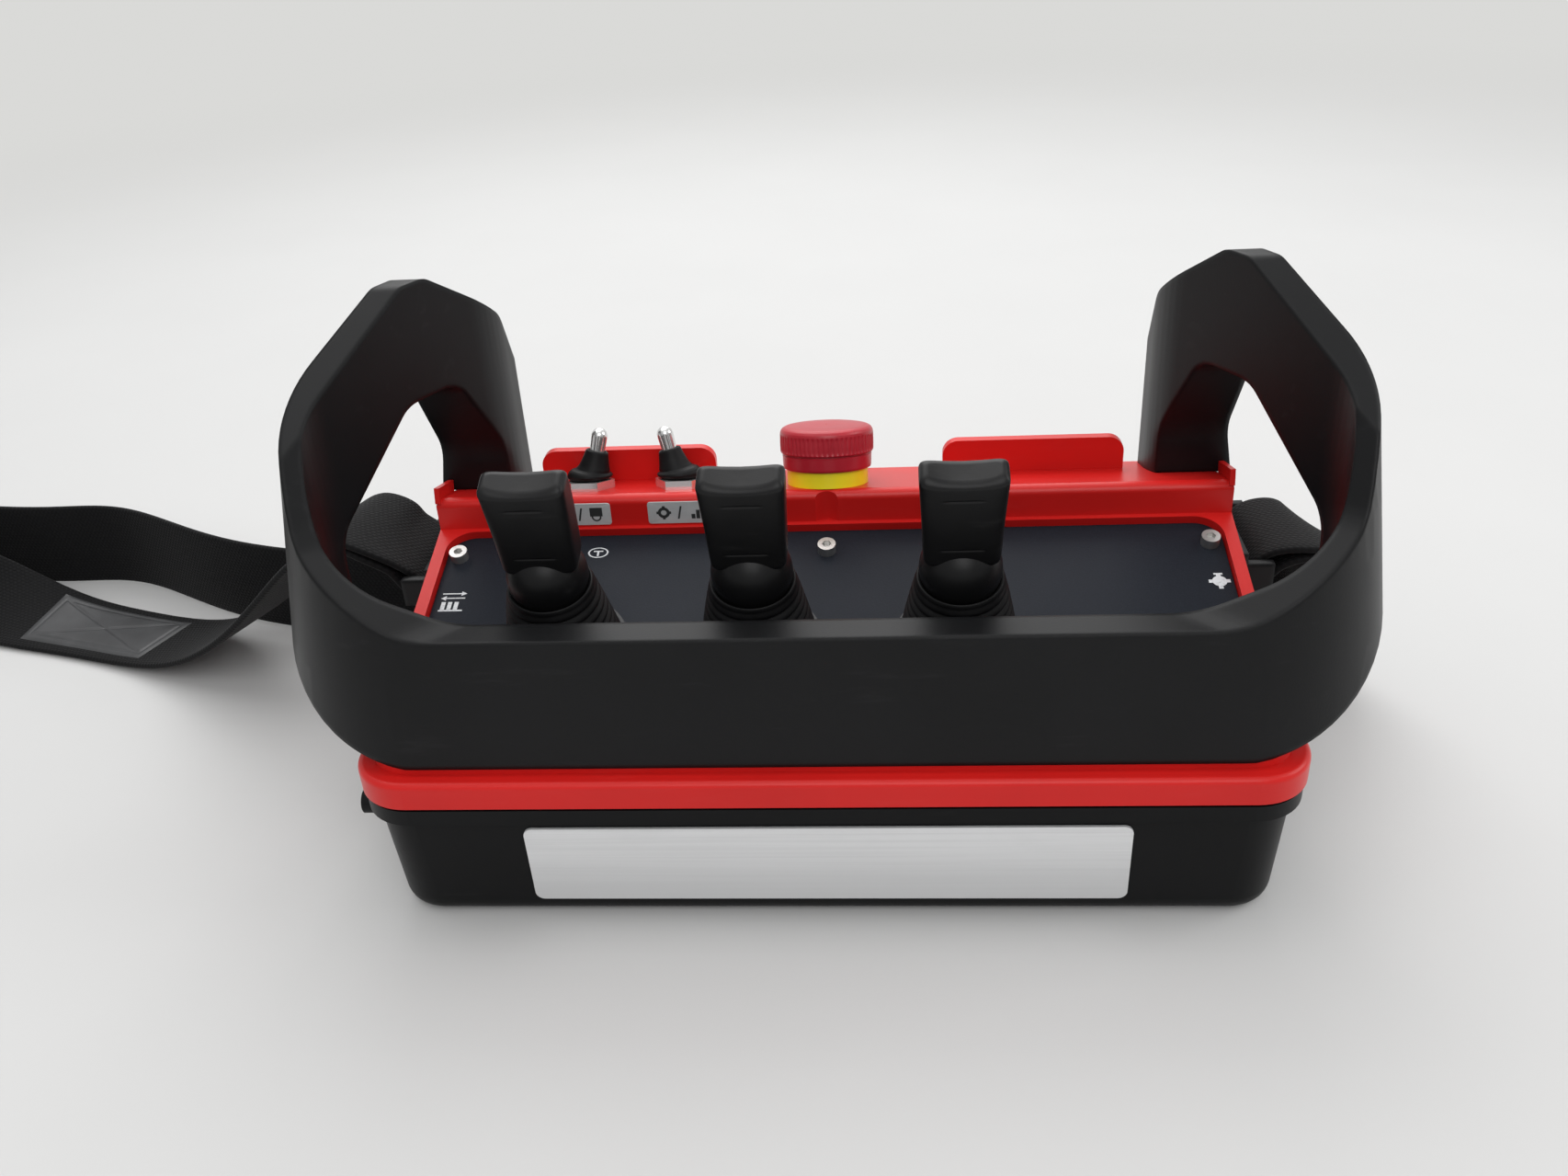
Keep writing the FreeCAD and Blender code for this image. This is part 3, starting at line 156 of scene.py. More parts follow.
# a fresh material with its even values set on the shader itself, and the place on the piece
def newFinish(name, even):
    finish = bpy.data.materials.new(name)
    finish.use_nodes = True
    shader = finish.node_tree.nodes["Principled BSDF"]
    for key, value in even.items():
        shader.inputs[key].default_value = value
    return finish, Wire(finish.node_tree).node("ShaderNodeTexCoord", out="Object")


# a colour times a factor, with full alpha
def rgba(colour, factor=1.0):
    return (*(np.array(colour) * factor), 1.0)


# moulded plastic, rubber and paint: what a finish below doesn't say for itself, sizes in mm
mouldedLook = {
    "shine": 0.5, "driftSpan": (0.3, 0.7), "edgeSamples": 8,
    "rubColour": (0.1, 0.1, 0.1), "rubMix": 0.3, "rubRough": 0.12,
    "rubSize": 6.0, "rubWay": (0.15, 1, 1), "rubSpan": (0.58, 0.8)}


# the colour drifts slowly about its base, fine grain is in the bump, and rubbed streaks are paler and duller
def mouldedFinish(name, own):
    look = {**mouldedLook, **own}
    finish, place = newFinish(name, {"Specular IOR Level": look["shine"]})
    drift = place.noise(look["patch"] * mm, detail=3)
    grain = place.noise(look["grain"] * mm, detail=1)
    streaks = place.noise(look["rubSize"] * mm, detail=4, rough=0.65, stretch=look["rubWay"])
    rub = streaks.ease(*look["rubSpan"]) * look["rub"]
    base = np.array(look["colour"])
    tone = drift.ease(*look["driftSpan"]).tint(rgba(base, 1 - look["drift"]), rgba(base, 1 + look["drift"]))
    rubbed = base * (1 - look["rubMix"]) + np.array(look["rubColour"]) * look["rubMix"]
    rub.tint(tone, rgba(rubbed)).into("Base Color")
    (look["rough"] + (drift - 0.5) * look["spread"] + rub * look["rubRough"]).into("Roughness")
    under = None
    if "edge" in look:  # moulded edges catch the light as if softly rounded
        under = place.node("ShaderNodeBevel", {"samples": look["edgeSamples"]}, {"Radius": look["edge"] * mm})
    grain.emboss(look["bump"], look["deep"], under)
    return finish


# bare metal: what a finish below doesn't say for itself, sizes in mm
metalLook = {
    "dark": 0.86, "smearSize": 9.0, "lineSize": 0.35, "lineWay": (1, 1, 0.1), "lineRough": 0.04,
    "bump": 0.12, "deep": 0.02}


# an even shine broken by fine turning lines and a few smears
def metalFinish(name, own):
    look = {**metalLook, **own}
    finish, place = newFinish(name, {"Metallic": look["metal"]})
    smear = place.noise(look["smearSize"] * mm, detail=4, rough=0.6)
    lines = place.noise(look["lineSize"] * mm, stretch=look["lineWay"])
    smear.tint(rgba(look["colour"], look["dark"]), rgba(look["colour"])).into("Base Color")
    (look["rough"] + smear * look["spread"] + lines * look["lineRough"]).into("Roughness")
    lines.emboss(look["bump"], look["deep"])
    return finish


# by slot of the record; patch, grain, deep and edge in mm
finishes = {
    "guard_plastic": mouldedFinish("guardPlastic", {
        "colour": (0.0062, 0.0064, 0.0070), "drift": 0.12, "patch": 40, "rough": 0.40, "spread": 0.10,
        "grain": 0.42, "bump": 0.30, "deep": 0.06, "rub": 0.22, "rubColour": (0.10, 0.10, 0.105),
        "edge": 2.0, "shine": 0.2}),
    "case_plastic": mouldedFinish("tubPlastic", {
        "colour": (0.0055, 0.0057, 0.0061), "drift": 0.10, "patch": 30, "rough": 0.40, "spread": 0.10,
        "grain": 0.5, "bump": 0.20, "deep": 0.05, "rub": 0.20, "shine": 0.14}),
    "cover_plastic": mouldedFinish("redCoverPlastic", {
        "colour": (0.64, 0.014, 0.012), "drift": 0.05, "patch": 55, "rough": 0.33, "spread": 0.10,
        "grain": 0.9, "bump": 0.10, "deep": 0.05, "rub": 0.10, "rubColour": (0.9, 0.25, 0.22), "shine": 0.3}),
    "seal_rubber": mouldedFinish("gasketRubber", {
        "colour": (0.012, 0.012, 0.012), "drift": 0.2, "patch": 12, "rough": 0.7, "spread": 0.15,
        "grain": 0.3, "bump": 0.3, "deep": 0.05, "rub": 0.2}),
    "boot_rubber": mouldedFinish("bootRubber", {
        "colour": (0.0075, 0.0075, 0.008), "drift": 0.22, "patch": 9, "rough": 0.50, "spread": 0.18,
        "grain": 0.35, "bump": 0.25, "deep": 0.05, "rub": 0.30, "rubColour": (0.08, 0.08, 0.084),
        "shine": 0.16}),
    "paddle_plastic": mouldedFinish("paddlePlastic", {
        "colour": (0.0068, 0.0068, 0.0072), "drift": 0.15, "patch": 14, "rough": 0.40, "spread": 0.14,
        "grain": 0.30, "bump": 0.22, "deep": 0.05, "rub": 0.30, "rubColour": (0.13, 0.13, 0.13),
        "shine": 0.25}),
    "inner_plastic": mouldedFinish("switchPlastic", {
        "colour": (0.02, 0.02, 0.022), "drift": 0.1, "patch": 10, "rough": 0.5, "spread": 0.1,
        "grain": 0.3, "bump": 0.2, "deep": 0.04, "rub": 0.1}),
    "stop_red": mouldedFinish("stopRedPlastic", {
        "colour": (0.46, 0.012, 0.026), "drift": 0.06, "patch": 12, "rough": 0.34, "spread": 0.10,
        "grain": 0.25, "bump": 0.12, "deep": 0.03, "rub": 0.15, "rubColour": (0.8, 0.3, 0.3)}),
    "stop_yellow": mouldedFinish("stopYellowPlastic", {
        "colour": (0.95, 0.78, 0.015), "drift": 0.04, "patch": 10, "rough": 0.36, "spread": 0.10,
        "grain": 0.3, "bump": 0.10, "deep": 0.03, "rub": 0.08, "rubColour": (0.9, 0.8, 0.2)}),
    "board": mouldedFinish("boardGreen", {
        "colour": (0.01, 0.10, 0.04), "drift": 0.2, "patch": 8, "rough": 0.4, "spread": 0.1,
        "grain": 0.4, "bump": 0.2, "deep": 0.05, "rub": 0.2, "rubColour": (0.5, 0.35, 0.1)}),
    "battery_wrap": mouldedFinish("batteryWrap", {
        "colour": (0.02, 0.06, 0.20), "drift": 0.08, "patch": 20, "rough": 0.35, "spread": 0.1,
        "grain": 0.6, "bump": 0.15, "deep": 0.05, "rub": 0.1}),
    "steel": metalFinish("screwSteel", {
        "metal": 0.9, "colour": (0.66, 0.65, 0.63), "rough": 0.22, "spread": 0.16}),
    "chrome": metalFinish("brightChrome", {
        "metal": 0.8, "colour": (0.86, 0.86, 0.85), "rough": 0.06, "spread": 0.10}),
}
print("moulded and metal finishes made:", len(finishes))

# the slopes of deck and console, in degrees, and y and z of their front edges in mm
slopeLook = {"angle": 15.0, "deck": (-61.0, 50.5), "console": (26.5, 87.034)}
slope = np.radians(slopeLook["angle"])

# control panel: dark film with a fine speckle and small pale signs, sizes in mm
# a sign has its middle on the deck, blocks as width, height and offset, arrow heads as way, offset and size,
# and an oval as its two half axes squared, with its hollow as a share
panelFilm = {
    "colour": (0.0135, 0.0165, 0.0235), "print": (0.72, 0.74, 0.76), "shine": 0.12,
    "fleck": 0.45, "fleckSize": 0.5, "fleckSpan": (0.35, 0.75), "fleckDark": 0.82, "fleckPale": 1.5,
    "fleckRough": 0.08, "cloud": 0.35, "cloudSize": 35.0, "cloudPale": 1.15,
    "wear": 0.25, "wearSize": 0.8, "wearSpan": (0.3, 0.5),
    "rough": 0.46, "spread": 0.16, "bump": 0.25, "deep": 0.04, "barb": 0.55,
    "signs": [
        {"middle": (-112.8, 61.2), "heads": [(1, 2.2, 3.6, 1.7), (-1, -2.2, 1.7, 1.7)],
         "blocks": [(6.0, 0.45, -0.6, 3.6), (6.0, 0.45, 0.6, 1.7), (7.4, 0.6, 0.0, -3.5),
                    (1.3, 3.2, -2.6, -1.5), (1.3, 3.2, -0.6, -1.5), (1.3, 3.2, 1.4, -1.5)]},
        {"middle": (-71.0, 81.7), "oval": (10.2, 5.2), "hollow": 0.84,
         "blocks": [(3.0, 0.5, 0.0, 0.6), (0.6, 2.2, 0.0, -0.5)]},
        {"middle": (114.5, 64.3), "oval": (4.41, 4.41), "hollow": 0.0,
         "blocks": [(6.2, 1.3, 0.0, 0.0), (1.3, 6.2, 0.0, 0.0), (2.6, 0.7, 0.0, 3.0)]}]}


def panelFinish(name, look):
    finish, place = newFinish(name, {"Specular IOR Level": look["shine"]})
    front, level = slopeLook["deck"]
    onPanel = place.node("ShaderNodeMapping", {"vector_type": "TEXTURE"}, {
        "Vector": place, "Location": (0, front * mm, level * mm), "Rotation": (slope, 0, 0),
        "Scale": (mm, mm, mm)})
    u, v = onPanel.split()[:2]
    ink = 0
    for sign in look["signs"]:
        right, up = u - sign["middle"][0], v - sign["middle"][1]
        for wide, tall, du, dv in sign["blocks"]:
            ink = ink + (abs(right - du) < wide / 2) * (abs(up - dv) < tall / 2)
        for way, du, dv, size in sign.get("heads", []):  # the width falls from the root to the tip
            along = (right - du) * way
            ink = ink + (along > 0) * (along < size) * (abs(up - dv) < (size - along) * look["barb"])
        if "oval" in sign:
            ring = (right ** 2 / sign["oval"][0] + up ** 2 / sign["oval"][1]) ** 0.5
            ink = ink + (ring > sign["hollow"]) * (ring < 1)
    fleck = place.noise(look["fleckSize"] * mm).ease(*look["fleckSpan"])
    cloud = place.noise(look["cloudSize"] * mm, detail=3)
    base = look["colour"]
    film = (fleck * look["fleck"]).tint(rgba(base, look["fleckDark"]), rgba(base, look["fleckPale"]))
    film = (cloud * look["cloud"]).tint(film, rgba(base, look["cloudPale"]))
    fresh = place.noise(look["wearSize"] * mm).ease(*look["wearSpan"])
    cover = 1 - look["wear"] + look["wear"] * fresh
    ((ink > 0.5) * cover).tint(film, rgba(look["print"])).into("Base Color")
    (look["rough"] + (cloud - 0.5) * look["spread"] + fleck * look["fleckRough"]).into("Roughness")
    fleck.emboss(look["bump"], look["deep"])
    return finish


finishes["panel_film"] = panelFinish("panelFilm", panelFilm)

# pale metal foil: brushed along the case, with painted shade making it a little darker towards its foot and a
# painted highlight making it paler towards its head, sizes in mm
plateFoil = {
    # foot and head scale the colour: painted shade low on the foil, a painted highlight high on it
    "colour": (0.74, 0.745, 0.75), "metal": 0.05, "low": 7.0, "high": 33.0, "foot": 0.84, "head": 1.08,
    "brushSize": 1.2, "brushWay": (0.012, 1, 1), "brushSpan": (0.35, 0.7), "brushTone": 0.80,
    "brushMix": 0.35, "brushRough": 0.18,
    "smudgeSize": 14.0, "smudgeWay": (0.4, 1, 1), "smudgeSpan": (0.55, 0.75), "smudgeTone": 0.88,
    "smudgeMix": 0.3, "smudgeRough": 0.06,
    "rough": 0.36, "bump": 0.12, "deep": 0.02}


def foilFinish(name, look):
    finish, place = newFinish(name, {"Metallic": look["metal"]})
    brush = place.noise(look["brushSize"] * mm, detail=4, rough=0.6, stretch=look["brushWay"])
    smudge = place.noise(look["smudgeSize"] * mm, detail=4, rough=0.6, stretch=look["smudgeWay"])
    base = look["colour"]
    # painted shade and highlight: the tone runs from darker at the foot to paler at the head, as the light
    # falls
    rise = place.split()[2].ease(look["low"] * mm, look["high"] * mm)
    tone = rise.tint(rgba(base, look["foot"]), rgba(base, look["head"]))
    tone = (brush.ease(*look["brushSpan"]) * look["brushMix"]).tint(tone, rgba(base, look["brushTone"]))
    tone = (smudge.ease(*look["smudgeSpan"]) * look["smudgeMix"]).tint(tone, rgba(base, look["smudgeTone"]))
    tone.into("Base Color")
    (look["rough"] + brush * look["brushRough"] + smudge * look["smudgeRough"]).into("Roughness")
    brush.emboss(look["bump"], look["deep"])
    return finish


finishes["plate"] = foilFinish("plateFoil", plateFoil)

# webbing: warp ribs along, weft picks across, each rib half a pick out of step with the next, sizes in mm
strapWeave = {
    "colour": (0.0048, 0.0048, 0.0052), "rib": 1.25, "pick": 1.7, "crown": 0.6, "pickShare": 0.38,
    # dark and pale: painted shade in the weave's hollows and a painted highlight on its crowns, as factors on
    # the colour
    "dark": 0.45, "pale": 1.9, "fuzzSize": 0.6, "fuzzTone": 0.3, "fuzzRough": 0.25, "fuzzHigh": 0.25,
    "cloudSize": 45.0, "cloudSpan": (0.4, 0.8), "cloudPale": 1.4, "cloud": 0.4,
    "rough": 0.62, "bump": 0.7, "deep": 0.25, "sheen": 0.06, "sheenRough": 0.4, "shine": 0.15}


# height |sin(pi rib)|^crown times a wave along the picks; the colour follows it, with painted shade in the
# hollows and a painted highlight on the crowns
def webbingFinish(name, look):
    finish, place = newFinish(name, {
        "Sheen Weight": look["sheen"], "Sheen Roughness": look["sheenRough"],
        "Specular IOR Level": look["shine"]})
    along, across = place.node("ShaderNodeTexCoord", out="UV").split()[:2]
    rib = across / (look["rib"] * mm)
    pick = (along / (look["pick"] * mm) + rib.floor() * 0.5) * fullTurn
    wave = 1 - look["pickShare"] + look["pickShare"] * pick.sine()
    height = abs((rib * np.pi).sine()) ** look["crown"] * wave
    fuzz = place.noise(look["fuzzSize"] * mm, detail=3)
    cloud = place.noise(look["cloudSize"] * mm, detail=3)
    base = look["colour"]
    # painted shade and highlight: the weave's height darkens its hollows and paints its crowns paler, mixed
    # with fibre fuzz that varies the tone
    weaveShadeAndFuzz = height * (1 - look["fuzzTone"]) + fuzz * look["fuzzTone"]
    tone = weaveShadeAndFuzz.tint(rgba(base, look["dark"]), rgba(base, look["pale"]))
    faded = cloud.ease(*look["cloudSpan"]) * look["cloud"]
    faded.tint(tone, rgba(base, look["cloudPale"])).into("Base Color")
    (look["rough"] + fuzz * look["fuzzRough"]).into("Roughness")
    (height + fuzz * look["fuzzHigh"]).emboss(look["bump"], look["deep"])
    return finish


finishes["webbing"] = webbingFinish("strapWebbing", strapWeave)
print("panel, plate and webbing finishes made")

# each frame node takes the finish of its slot in the record
for item in frame["record"]["subparts"]:
    nodes[item["node"]].data.materials.clear()
    nodes[item["node"]].data.materials.append(finishes[item["material_slot"]])
print("frame nodes dressed")


# deck point in metres: u across, v up the slope from the deck's front edge, n out of the panel, all in mm
def onDeck(u, v, n):
    u, v, n = np.broadcast_arrays(u, v, n)
    front, level = slopeLook["deck"]
    y = front + v * np.cos(slope) - n * np.sin(slope)
    z = level + v * np.sin(slope) + n * np.cos(slope)
    return mm * np.stack([u, y, z], -1)


# console point in metres: v runs back down the console's top from its front edge, n out of it
def onConsole(u, v, n):
    u, v, n = np.broadcast_arrays(u, v, n)
    front, level = slopeLook["console"]
    y = front + v * np.cos(slope) + n * np.sin(slope)
    z = level - v * np.sin(slope) + n * np.cos(slope)
    return mm * np.stack([u, y, z], -1)


# puts an object into the scene
def link(thing):
    bpy.context.scene.collection.objects.link(thing)
    return thing


# vectors brought to length 1
def unit(a):
    return a / np.linalg.norm(a, axis=-1, keepdims=True)


# angles round a full turn, the last one short of the first
def roundAngles(count):
    return np.linspace(0, fullTurn, count, endpoint=False)


# the faces of a source go into a mesh, with doubled points merged and all faces turned outwards
def mend(source, mesh):
    work = bmesh.new()
    work.from_mesh(source)
    bmesh.ops.remove_doubles(work, verts=work.verts, dist=mergeGap)
    bmesh.ops.recalc_face_normals(work, faces=work.faces)
    work.to_mesh(mesh)
    work.free()
    return mesh


# a mesh becomes a piece: smooth but for edges sharper than an angle in degrees, with the given finish or else
# the finish of its slot
def dressPiece(name, mesh, slot, sharp, finish=None):
    mesh.polygons.foreach_set("use_smooth", np.ones(len(mesh.polygons), bool))
    mesh.set_sharp_from_angle(angle=np.radians(sharp))
    mesh.materials.clear()
    mesh.materials.append(finish or finishes[slot])
    piece = link(bpy.data.objects.new(name, mesh))
    return piece


# the four corners of each cell of a grid
def cells(grid):
    return np.stack([grid[:-1, :-1], grid[1:, :-1], grid[1:, 1:], grid[:-1, 1:]], 2)


# a grid of points becomes quads; each row closes to a ring, and so does each column where asked
def gridPiece(name, points, slot, sharp, closed=False, uv=None, finish=None):
    ids = np.arange(points.shape[0] * points.shape[1]).reshape(points.shape[:2])
    ids = np.concatenate([ids, ids[:1]]) if closed else ids
    ids = np.concatenate([ids, ids[:, :1]], 1)
    mesh = bpy.data.meshes.new(name)
    mesh.from_pydata(points.reshape(-1, 3).tolist(), [], cells(ids).reshape(-1, 4).tolist())
    if uv is not None:
        mesh.uv_layers.new(name="weave").data.foreach_set("uv", cells(uv).reshape(-1).astype(np.float32))
    return dressPiece(name, mend(mesh, mesh), slot, sharp, finish)


# radius and height of points spread evenly over the corners of a closed profile
def alongProfile(profile, count):
    corners = np.array([*profile, profile[0]])
    s = np.linspace(0, len(profile), count, endpoint=False)
    return [np.interp(s, np.arange(len(corners)), corners[:, k])[:, None] for k in (0, 1)]


# the strap's route: x, y, z of its middle in mm and its lean, 0 lying flat and 90 on edge
strapLook = {
    "width": 35.0, "thick": 2.2, "steps": 10, "across": 15, "edgeSteps": 7, "upright": 0.999, "sharp": 60,
    "route": [
        (-167.5, 42, 68.5, 0), (-162.5, 40.3, 72.6, 0), (-154, 37.2, 77.6, 0), (-141.2, 33.2, 74.3, 0),
        (-135.4, 33, 69.2, 0), (-130.5, 33, 66.2, 0), (-126.8, 33, 62.6, 0), (-128.2, 33, 59.0, 0),
        (-131.5, 33, 57.9, 0), (-134.4, 33, 61.2, 0), (-137.2, 33, 66.5, 0), (-141.5, 33, 71.4, 0),
        (-152.5, 37, 75.4, 0), (-168, 42, 67, 0), (-188, 50, 46, 0), (-210, 59, 25, 0), (-234, 69, 9, 0),
        (-258, 79, 2.6, 0), (-286, 89, 1.8, 0), (-308, 95, 2.7, 4), (-328, 99.5, 7.0, 18),
        (-345, 103, 12.6, 40), (-360, 107, 16.7, 64), (-374, 112.5, 17.9, 84), (-385, 120, 18.1, 90),
        (-390, 130, 18.1, 90), (-385, 139, 18.1, 90), (-372, 141, 18.1, 90), (-350, 136, 18.1, 90),
        (-325, 134, 18.1, 90), (-303, 136, 18.1, 90), (-283, 129, 18.1, 90), (-253, 110, 18.1, 90),
        (-225, 97, 18.1, 90), (-190, 89, 18.1, 90), (-150, 85, 18.1, 90), (-100, 86, 18.1, 90),
        (-40, 89, 18.1, 90), (30, 90, 18.1, 90), (95, 88, 18.1, 90), (130, 84, 18.1, 90), (152, 75, 20.1, 88),
        (162, 60, 26, 68), (163, 46, 40, 36), (157, 38, 56, 12), (149, 34, 65, 0), (140.5, 33, 65.6, 0),
        (135.2, 33, 62.4, 0), (132.6, 33, 58.4, 0), (129, 33, 58.2, 0), (126.8, 33, 61.6, 0),
        (129.6, 33, 66.2, 0), (135.2, 33, 68.6, 0), (142.4, 33.2, 68.6, 0), (148.4, 34.2, 66.7, 1),
        (151.6, 35.3, 64.4, 4)]}


# uniform cubic B-spline with clamped ends: each span is the blend of four neighbouring points
def splineAlong(points, steps):
    p = np.vstack([points[:1], points[:1], points, points[-1:], points[-1:]])
    t = np.linspace(0, 1, steps, endpoint=False)[None, :, None]
    a, b, c, d = p[:-3, None], p[1:-2, None], p[2:-1, None], p[3:, None]
    blend = (1 - t) ** 3 * a + (3 * t ** 3 - 6 * t ** 2 + 4) * b
    blend = (blend + (-3 * t ** 3 + 3 * t ** 2 + 3 * t + 1) * c + t ** 3 * d) / 6
    return np.vstack([blend.reshape(-1, points.shape[1]), points[-1:]])


# a flat band with half-round edges carried along its route; the band turns about the route by the lean
def makeStrap(look):
    line = splineAlong(np.array(look["route"], float), look["steps"])
    centre, lean = line[:, :3], np.radians(line[:, 3])[:, None]
    run = unit(np.gradient(centre, axis=0))
    level = unit(np.stack([-run[:, 1], run[:, 0], np.zeros(len(run))], 1))
    level = np.where(np.abs(run[:, 2:]) > look["upright"], np.array([[0.0, 1.0, 0.0]]), level)
    side = level * np.cos(lean) - np.cross(run, level) * np.sin(lean)
    face = np.cross(run, side)
    # the section: a across the band, b through it
    edge = look["thick"] / 2
    flat = np.linspace(-1, 1, look["across"]) * (look["width"] / 2 - edge)
    turn = np.radians(np.linspace(-90, 90, look["edgeSteps"]))[1:-1]
    a = np.concatenate([flat, flat[-1] + edge * np.cos(turn), flat[::-1], flat[0] - edge * np.cos(turn)])
    b = np.concatenate([-edge + 0 * flat, edge * np.sin(turn), edge + 0 * flat, -edge * np.sin(turn)])
    points = centre[:, None] + side[:, None] * a[None, :, None] + face[:, None] * b[None, :, None]
    # the two cut ends close to a line
    points[0] = centre[0] + side[0] * a[:, None]
    points[-1] = centre[-1] + side[-1] * a[:, None]
    length = np.concatenate([[0], np.cumsum(np.linalg.norm(np.diff(centre, axis=0), axis=1))])
    uv = np.stack(np.broadcast_arrays(length[:, None], np.append(a, a[0])[None, :]), -1) * mm
    piece = gridPiece("shoulderStrap", points * mm, "webbing", look["sharp"], uv=uv)
    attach(piece, "case")
    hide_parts("strap")
    print("strap laid, mm:", round(float(length[-1])))
    return centre, side, face, length


strapLine = makeStrap(strapLook)

# the sewn patch on the strap's flat run: soft vinyl held by a border seam and crossed stitches, sizes in mm
patchLook = {
    "middle": (-288.0, 91.0), "long": 62.0, "wide": 27.0, "high": 1.1, "square": 10, "over": 0.05,
    "seam": 2.6, "dip": 0.45, "stitch": 0.55, "apart": 9.0, "steps": (150, 66), "sharp": 70}
patchVinyl = mouldedFinish("patchVinyl", {
    "colour": (0.045, 0.046, 0.048), "drift": 0.15, "patch": 10, "rough": 0.42, "spread": 0.12, "grain": 0.8,
    "bump": 0.35, "deep": 0.08, "rub": 0.3, "rubColour": (0.16, 0.16, 0.165)})


# a pillow (1 - p^10)(1 - q^10) over p, q in -1..1, times its height less a Gaussian dip along the border seam
# and both diagonals
def makePatch(line, look):
    centre, side, face, length = line
    start = length[np.argmin(np.hypot(*(centre[:, :2] - look["middle"]).T))]
    p = np.linspace(-1, 1, look["steps"][0])[:, None]
    q = np.linspace(-1, 1, look["steps"][1])[None, :]
    halfLong, halfWide = look["long"] / 2, look["wide"] / 2
    u, v = p * halfLong, q * halfWide
    at = start + u[:, 0]
    middle, across, out = (
        np.stack([np.interp(at, length, a[:, k]) for k in range(3)], 1) for a in (centre, side, face))
    out = out * np.sign(out[:, 2:])
    border = np.minimum(halfLong - np.abs(u), halfWide - np.abs(v)) - look["seam"]
    reach, rise = halfLong - look["seam"], halfWide - look["seam"]
    cross = np.abs(np.abs(u) * rise - np.abs(v) * reach) / np.hypot(reach, rise)
    cross = cross + look["apart"] * (border < 0)  # the crossed stitches end at the seam
    gap = np.minimum(np.abs(border), cross)
    pillow = (1 - p ** look["square"]) * (1 - q ** look["square"])
    height = pillow * (look["high"] - look["dip"] * np.exp(-(gap / look["stitch"]) ** 2))
    base = middle[:, None] + across[:, None] * v[..., None]
    seat = strapLook["thick"] / 2 + look["over"]
    top = base + out[:, None] * (seat + height)[..., None]
    under = base + out[:, None] * seat
    points = np.concatenate([top, under[:, ::-1]], 1)
    piece = gridPiece("strapPatch", points * mm, "webbing", look["sharp"], finish=patchVinyl)
    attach(piece, "case")


makePatch(strapLine, patchLook)
print("strap patch sewn on")

# guard hoop: a copy of the frame's guard with its lower corners swept up, sizes in mm
guardLook = {
    "inner": 96.0, "outer": 152.0, "rise": 38.0, "steps": 48, "sharp": 14,
    "front": -95.0, "back": 16.0, "below": 12.0, "beyond": 30.0}  # what is cut ends in front of the rear legs


# cut away at both ends: all below the ellipse z = low + rise (1 - sqrt(1 - s^2)), with s from 0 at inner to 1
# at outer, carried along y from front to back
def makeGuard(look):
    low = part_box("guard")[0][2] / mm
    s = np.linspace(0, 1, look["steps"])
    far, foot = look["outer"] + look["beyond"], low - look["below"]
    x = np.append(look["inner"] + s * (look["outer"] - look["inner"]), [far, far, look["inner"]])
    z = np.append(low + look["rise"] * (1 - np.sqrt(1 - s ** 2)), [low + look["rise"], foot, foot])
    ends = np.array([[look["front"]], [look["back"]]])
    right = np.stack(np.broadcast_arrays(x, ends, z), -1).reshape(-1, 3)
    count = len(x)
    ids = np.arange(count)
    onward = np.roll(ids, -1)
    sides = np.stack([ids, onward, onward + count, ids + count], 1).tolist()
    sides += [ids.tolist(), (ids + count).tolist()]
    both = sides + [[i + 2 * count for i in side] for side in sides]
    knife = bpy.data.meshes.new("guardKnife")
    knife.from_pydata((np.concatenate([right, right * (-1, 1, 1)]) * mm).tolist(), [], both)
    blade = link(bpy.data.objects.new("guardKnife", mend(knife, knife)))
    copy = mend(nodes["guard"].data, bpy.data.meshes.new("guardBlank"))
    blank = link(bpy.data.objects.new("guardBlank", copy))
    cut = blank.modifiers.new("corners", "BOOLEAN")
    cut.operation, cut.solver, cut.object = "DIFFERENCE", "EXACT", blade
    hoop = bpy.data.meshes.new_from_object(blank.evaluated_get(bpy.context.evaluated_depsgraph_get()))
    hoop.name = "guardHoop"
    for thing in (blank, blade):
        bpy.data.objects.remove(thing)
    piece = dressPiece("guardHoop", hoop, "guard_plastic", look["sharp"])
    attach(piece, "case")
    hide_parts("guard")
    print("guard hoop cut, faces:", len(hoop.polygons))


makeGuard(guardLook)

# lever boots: a round skirt with soft folds that narrows to the ball of its lever, sizes in mm
bootLook = {
    "middles": (-75.0, -18.5, 38.0), "back": 43.0, "low": 1.2, "high": 25.4,
    "base": 17.0, "shoulder": 12.1, "mouth": 11.5, "slack": 0.8, "rollFrom": 0.85, "curl": 1.2,
    "folds": 8, "fold": 1.2, "wall": 0.8, "round": 72, "rise": 150, "still": 0.5, "sharp": 60}


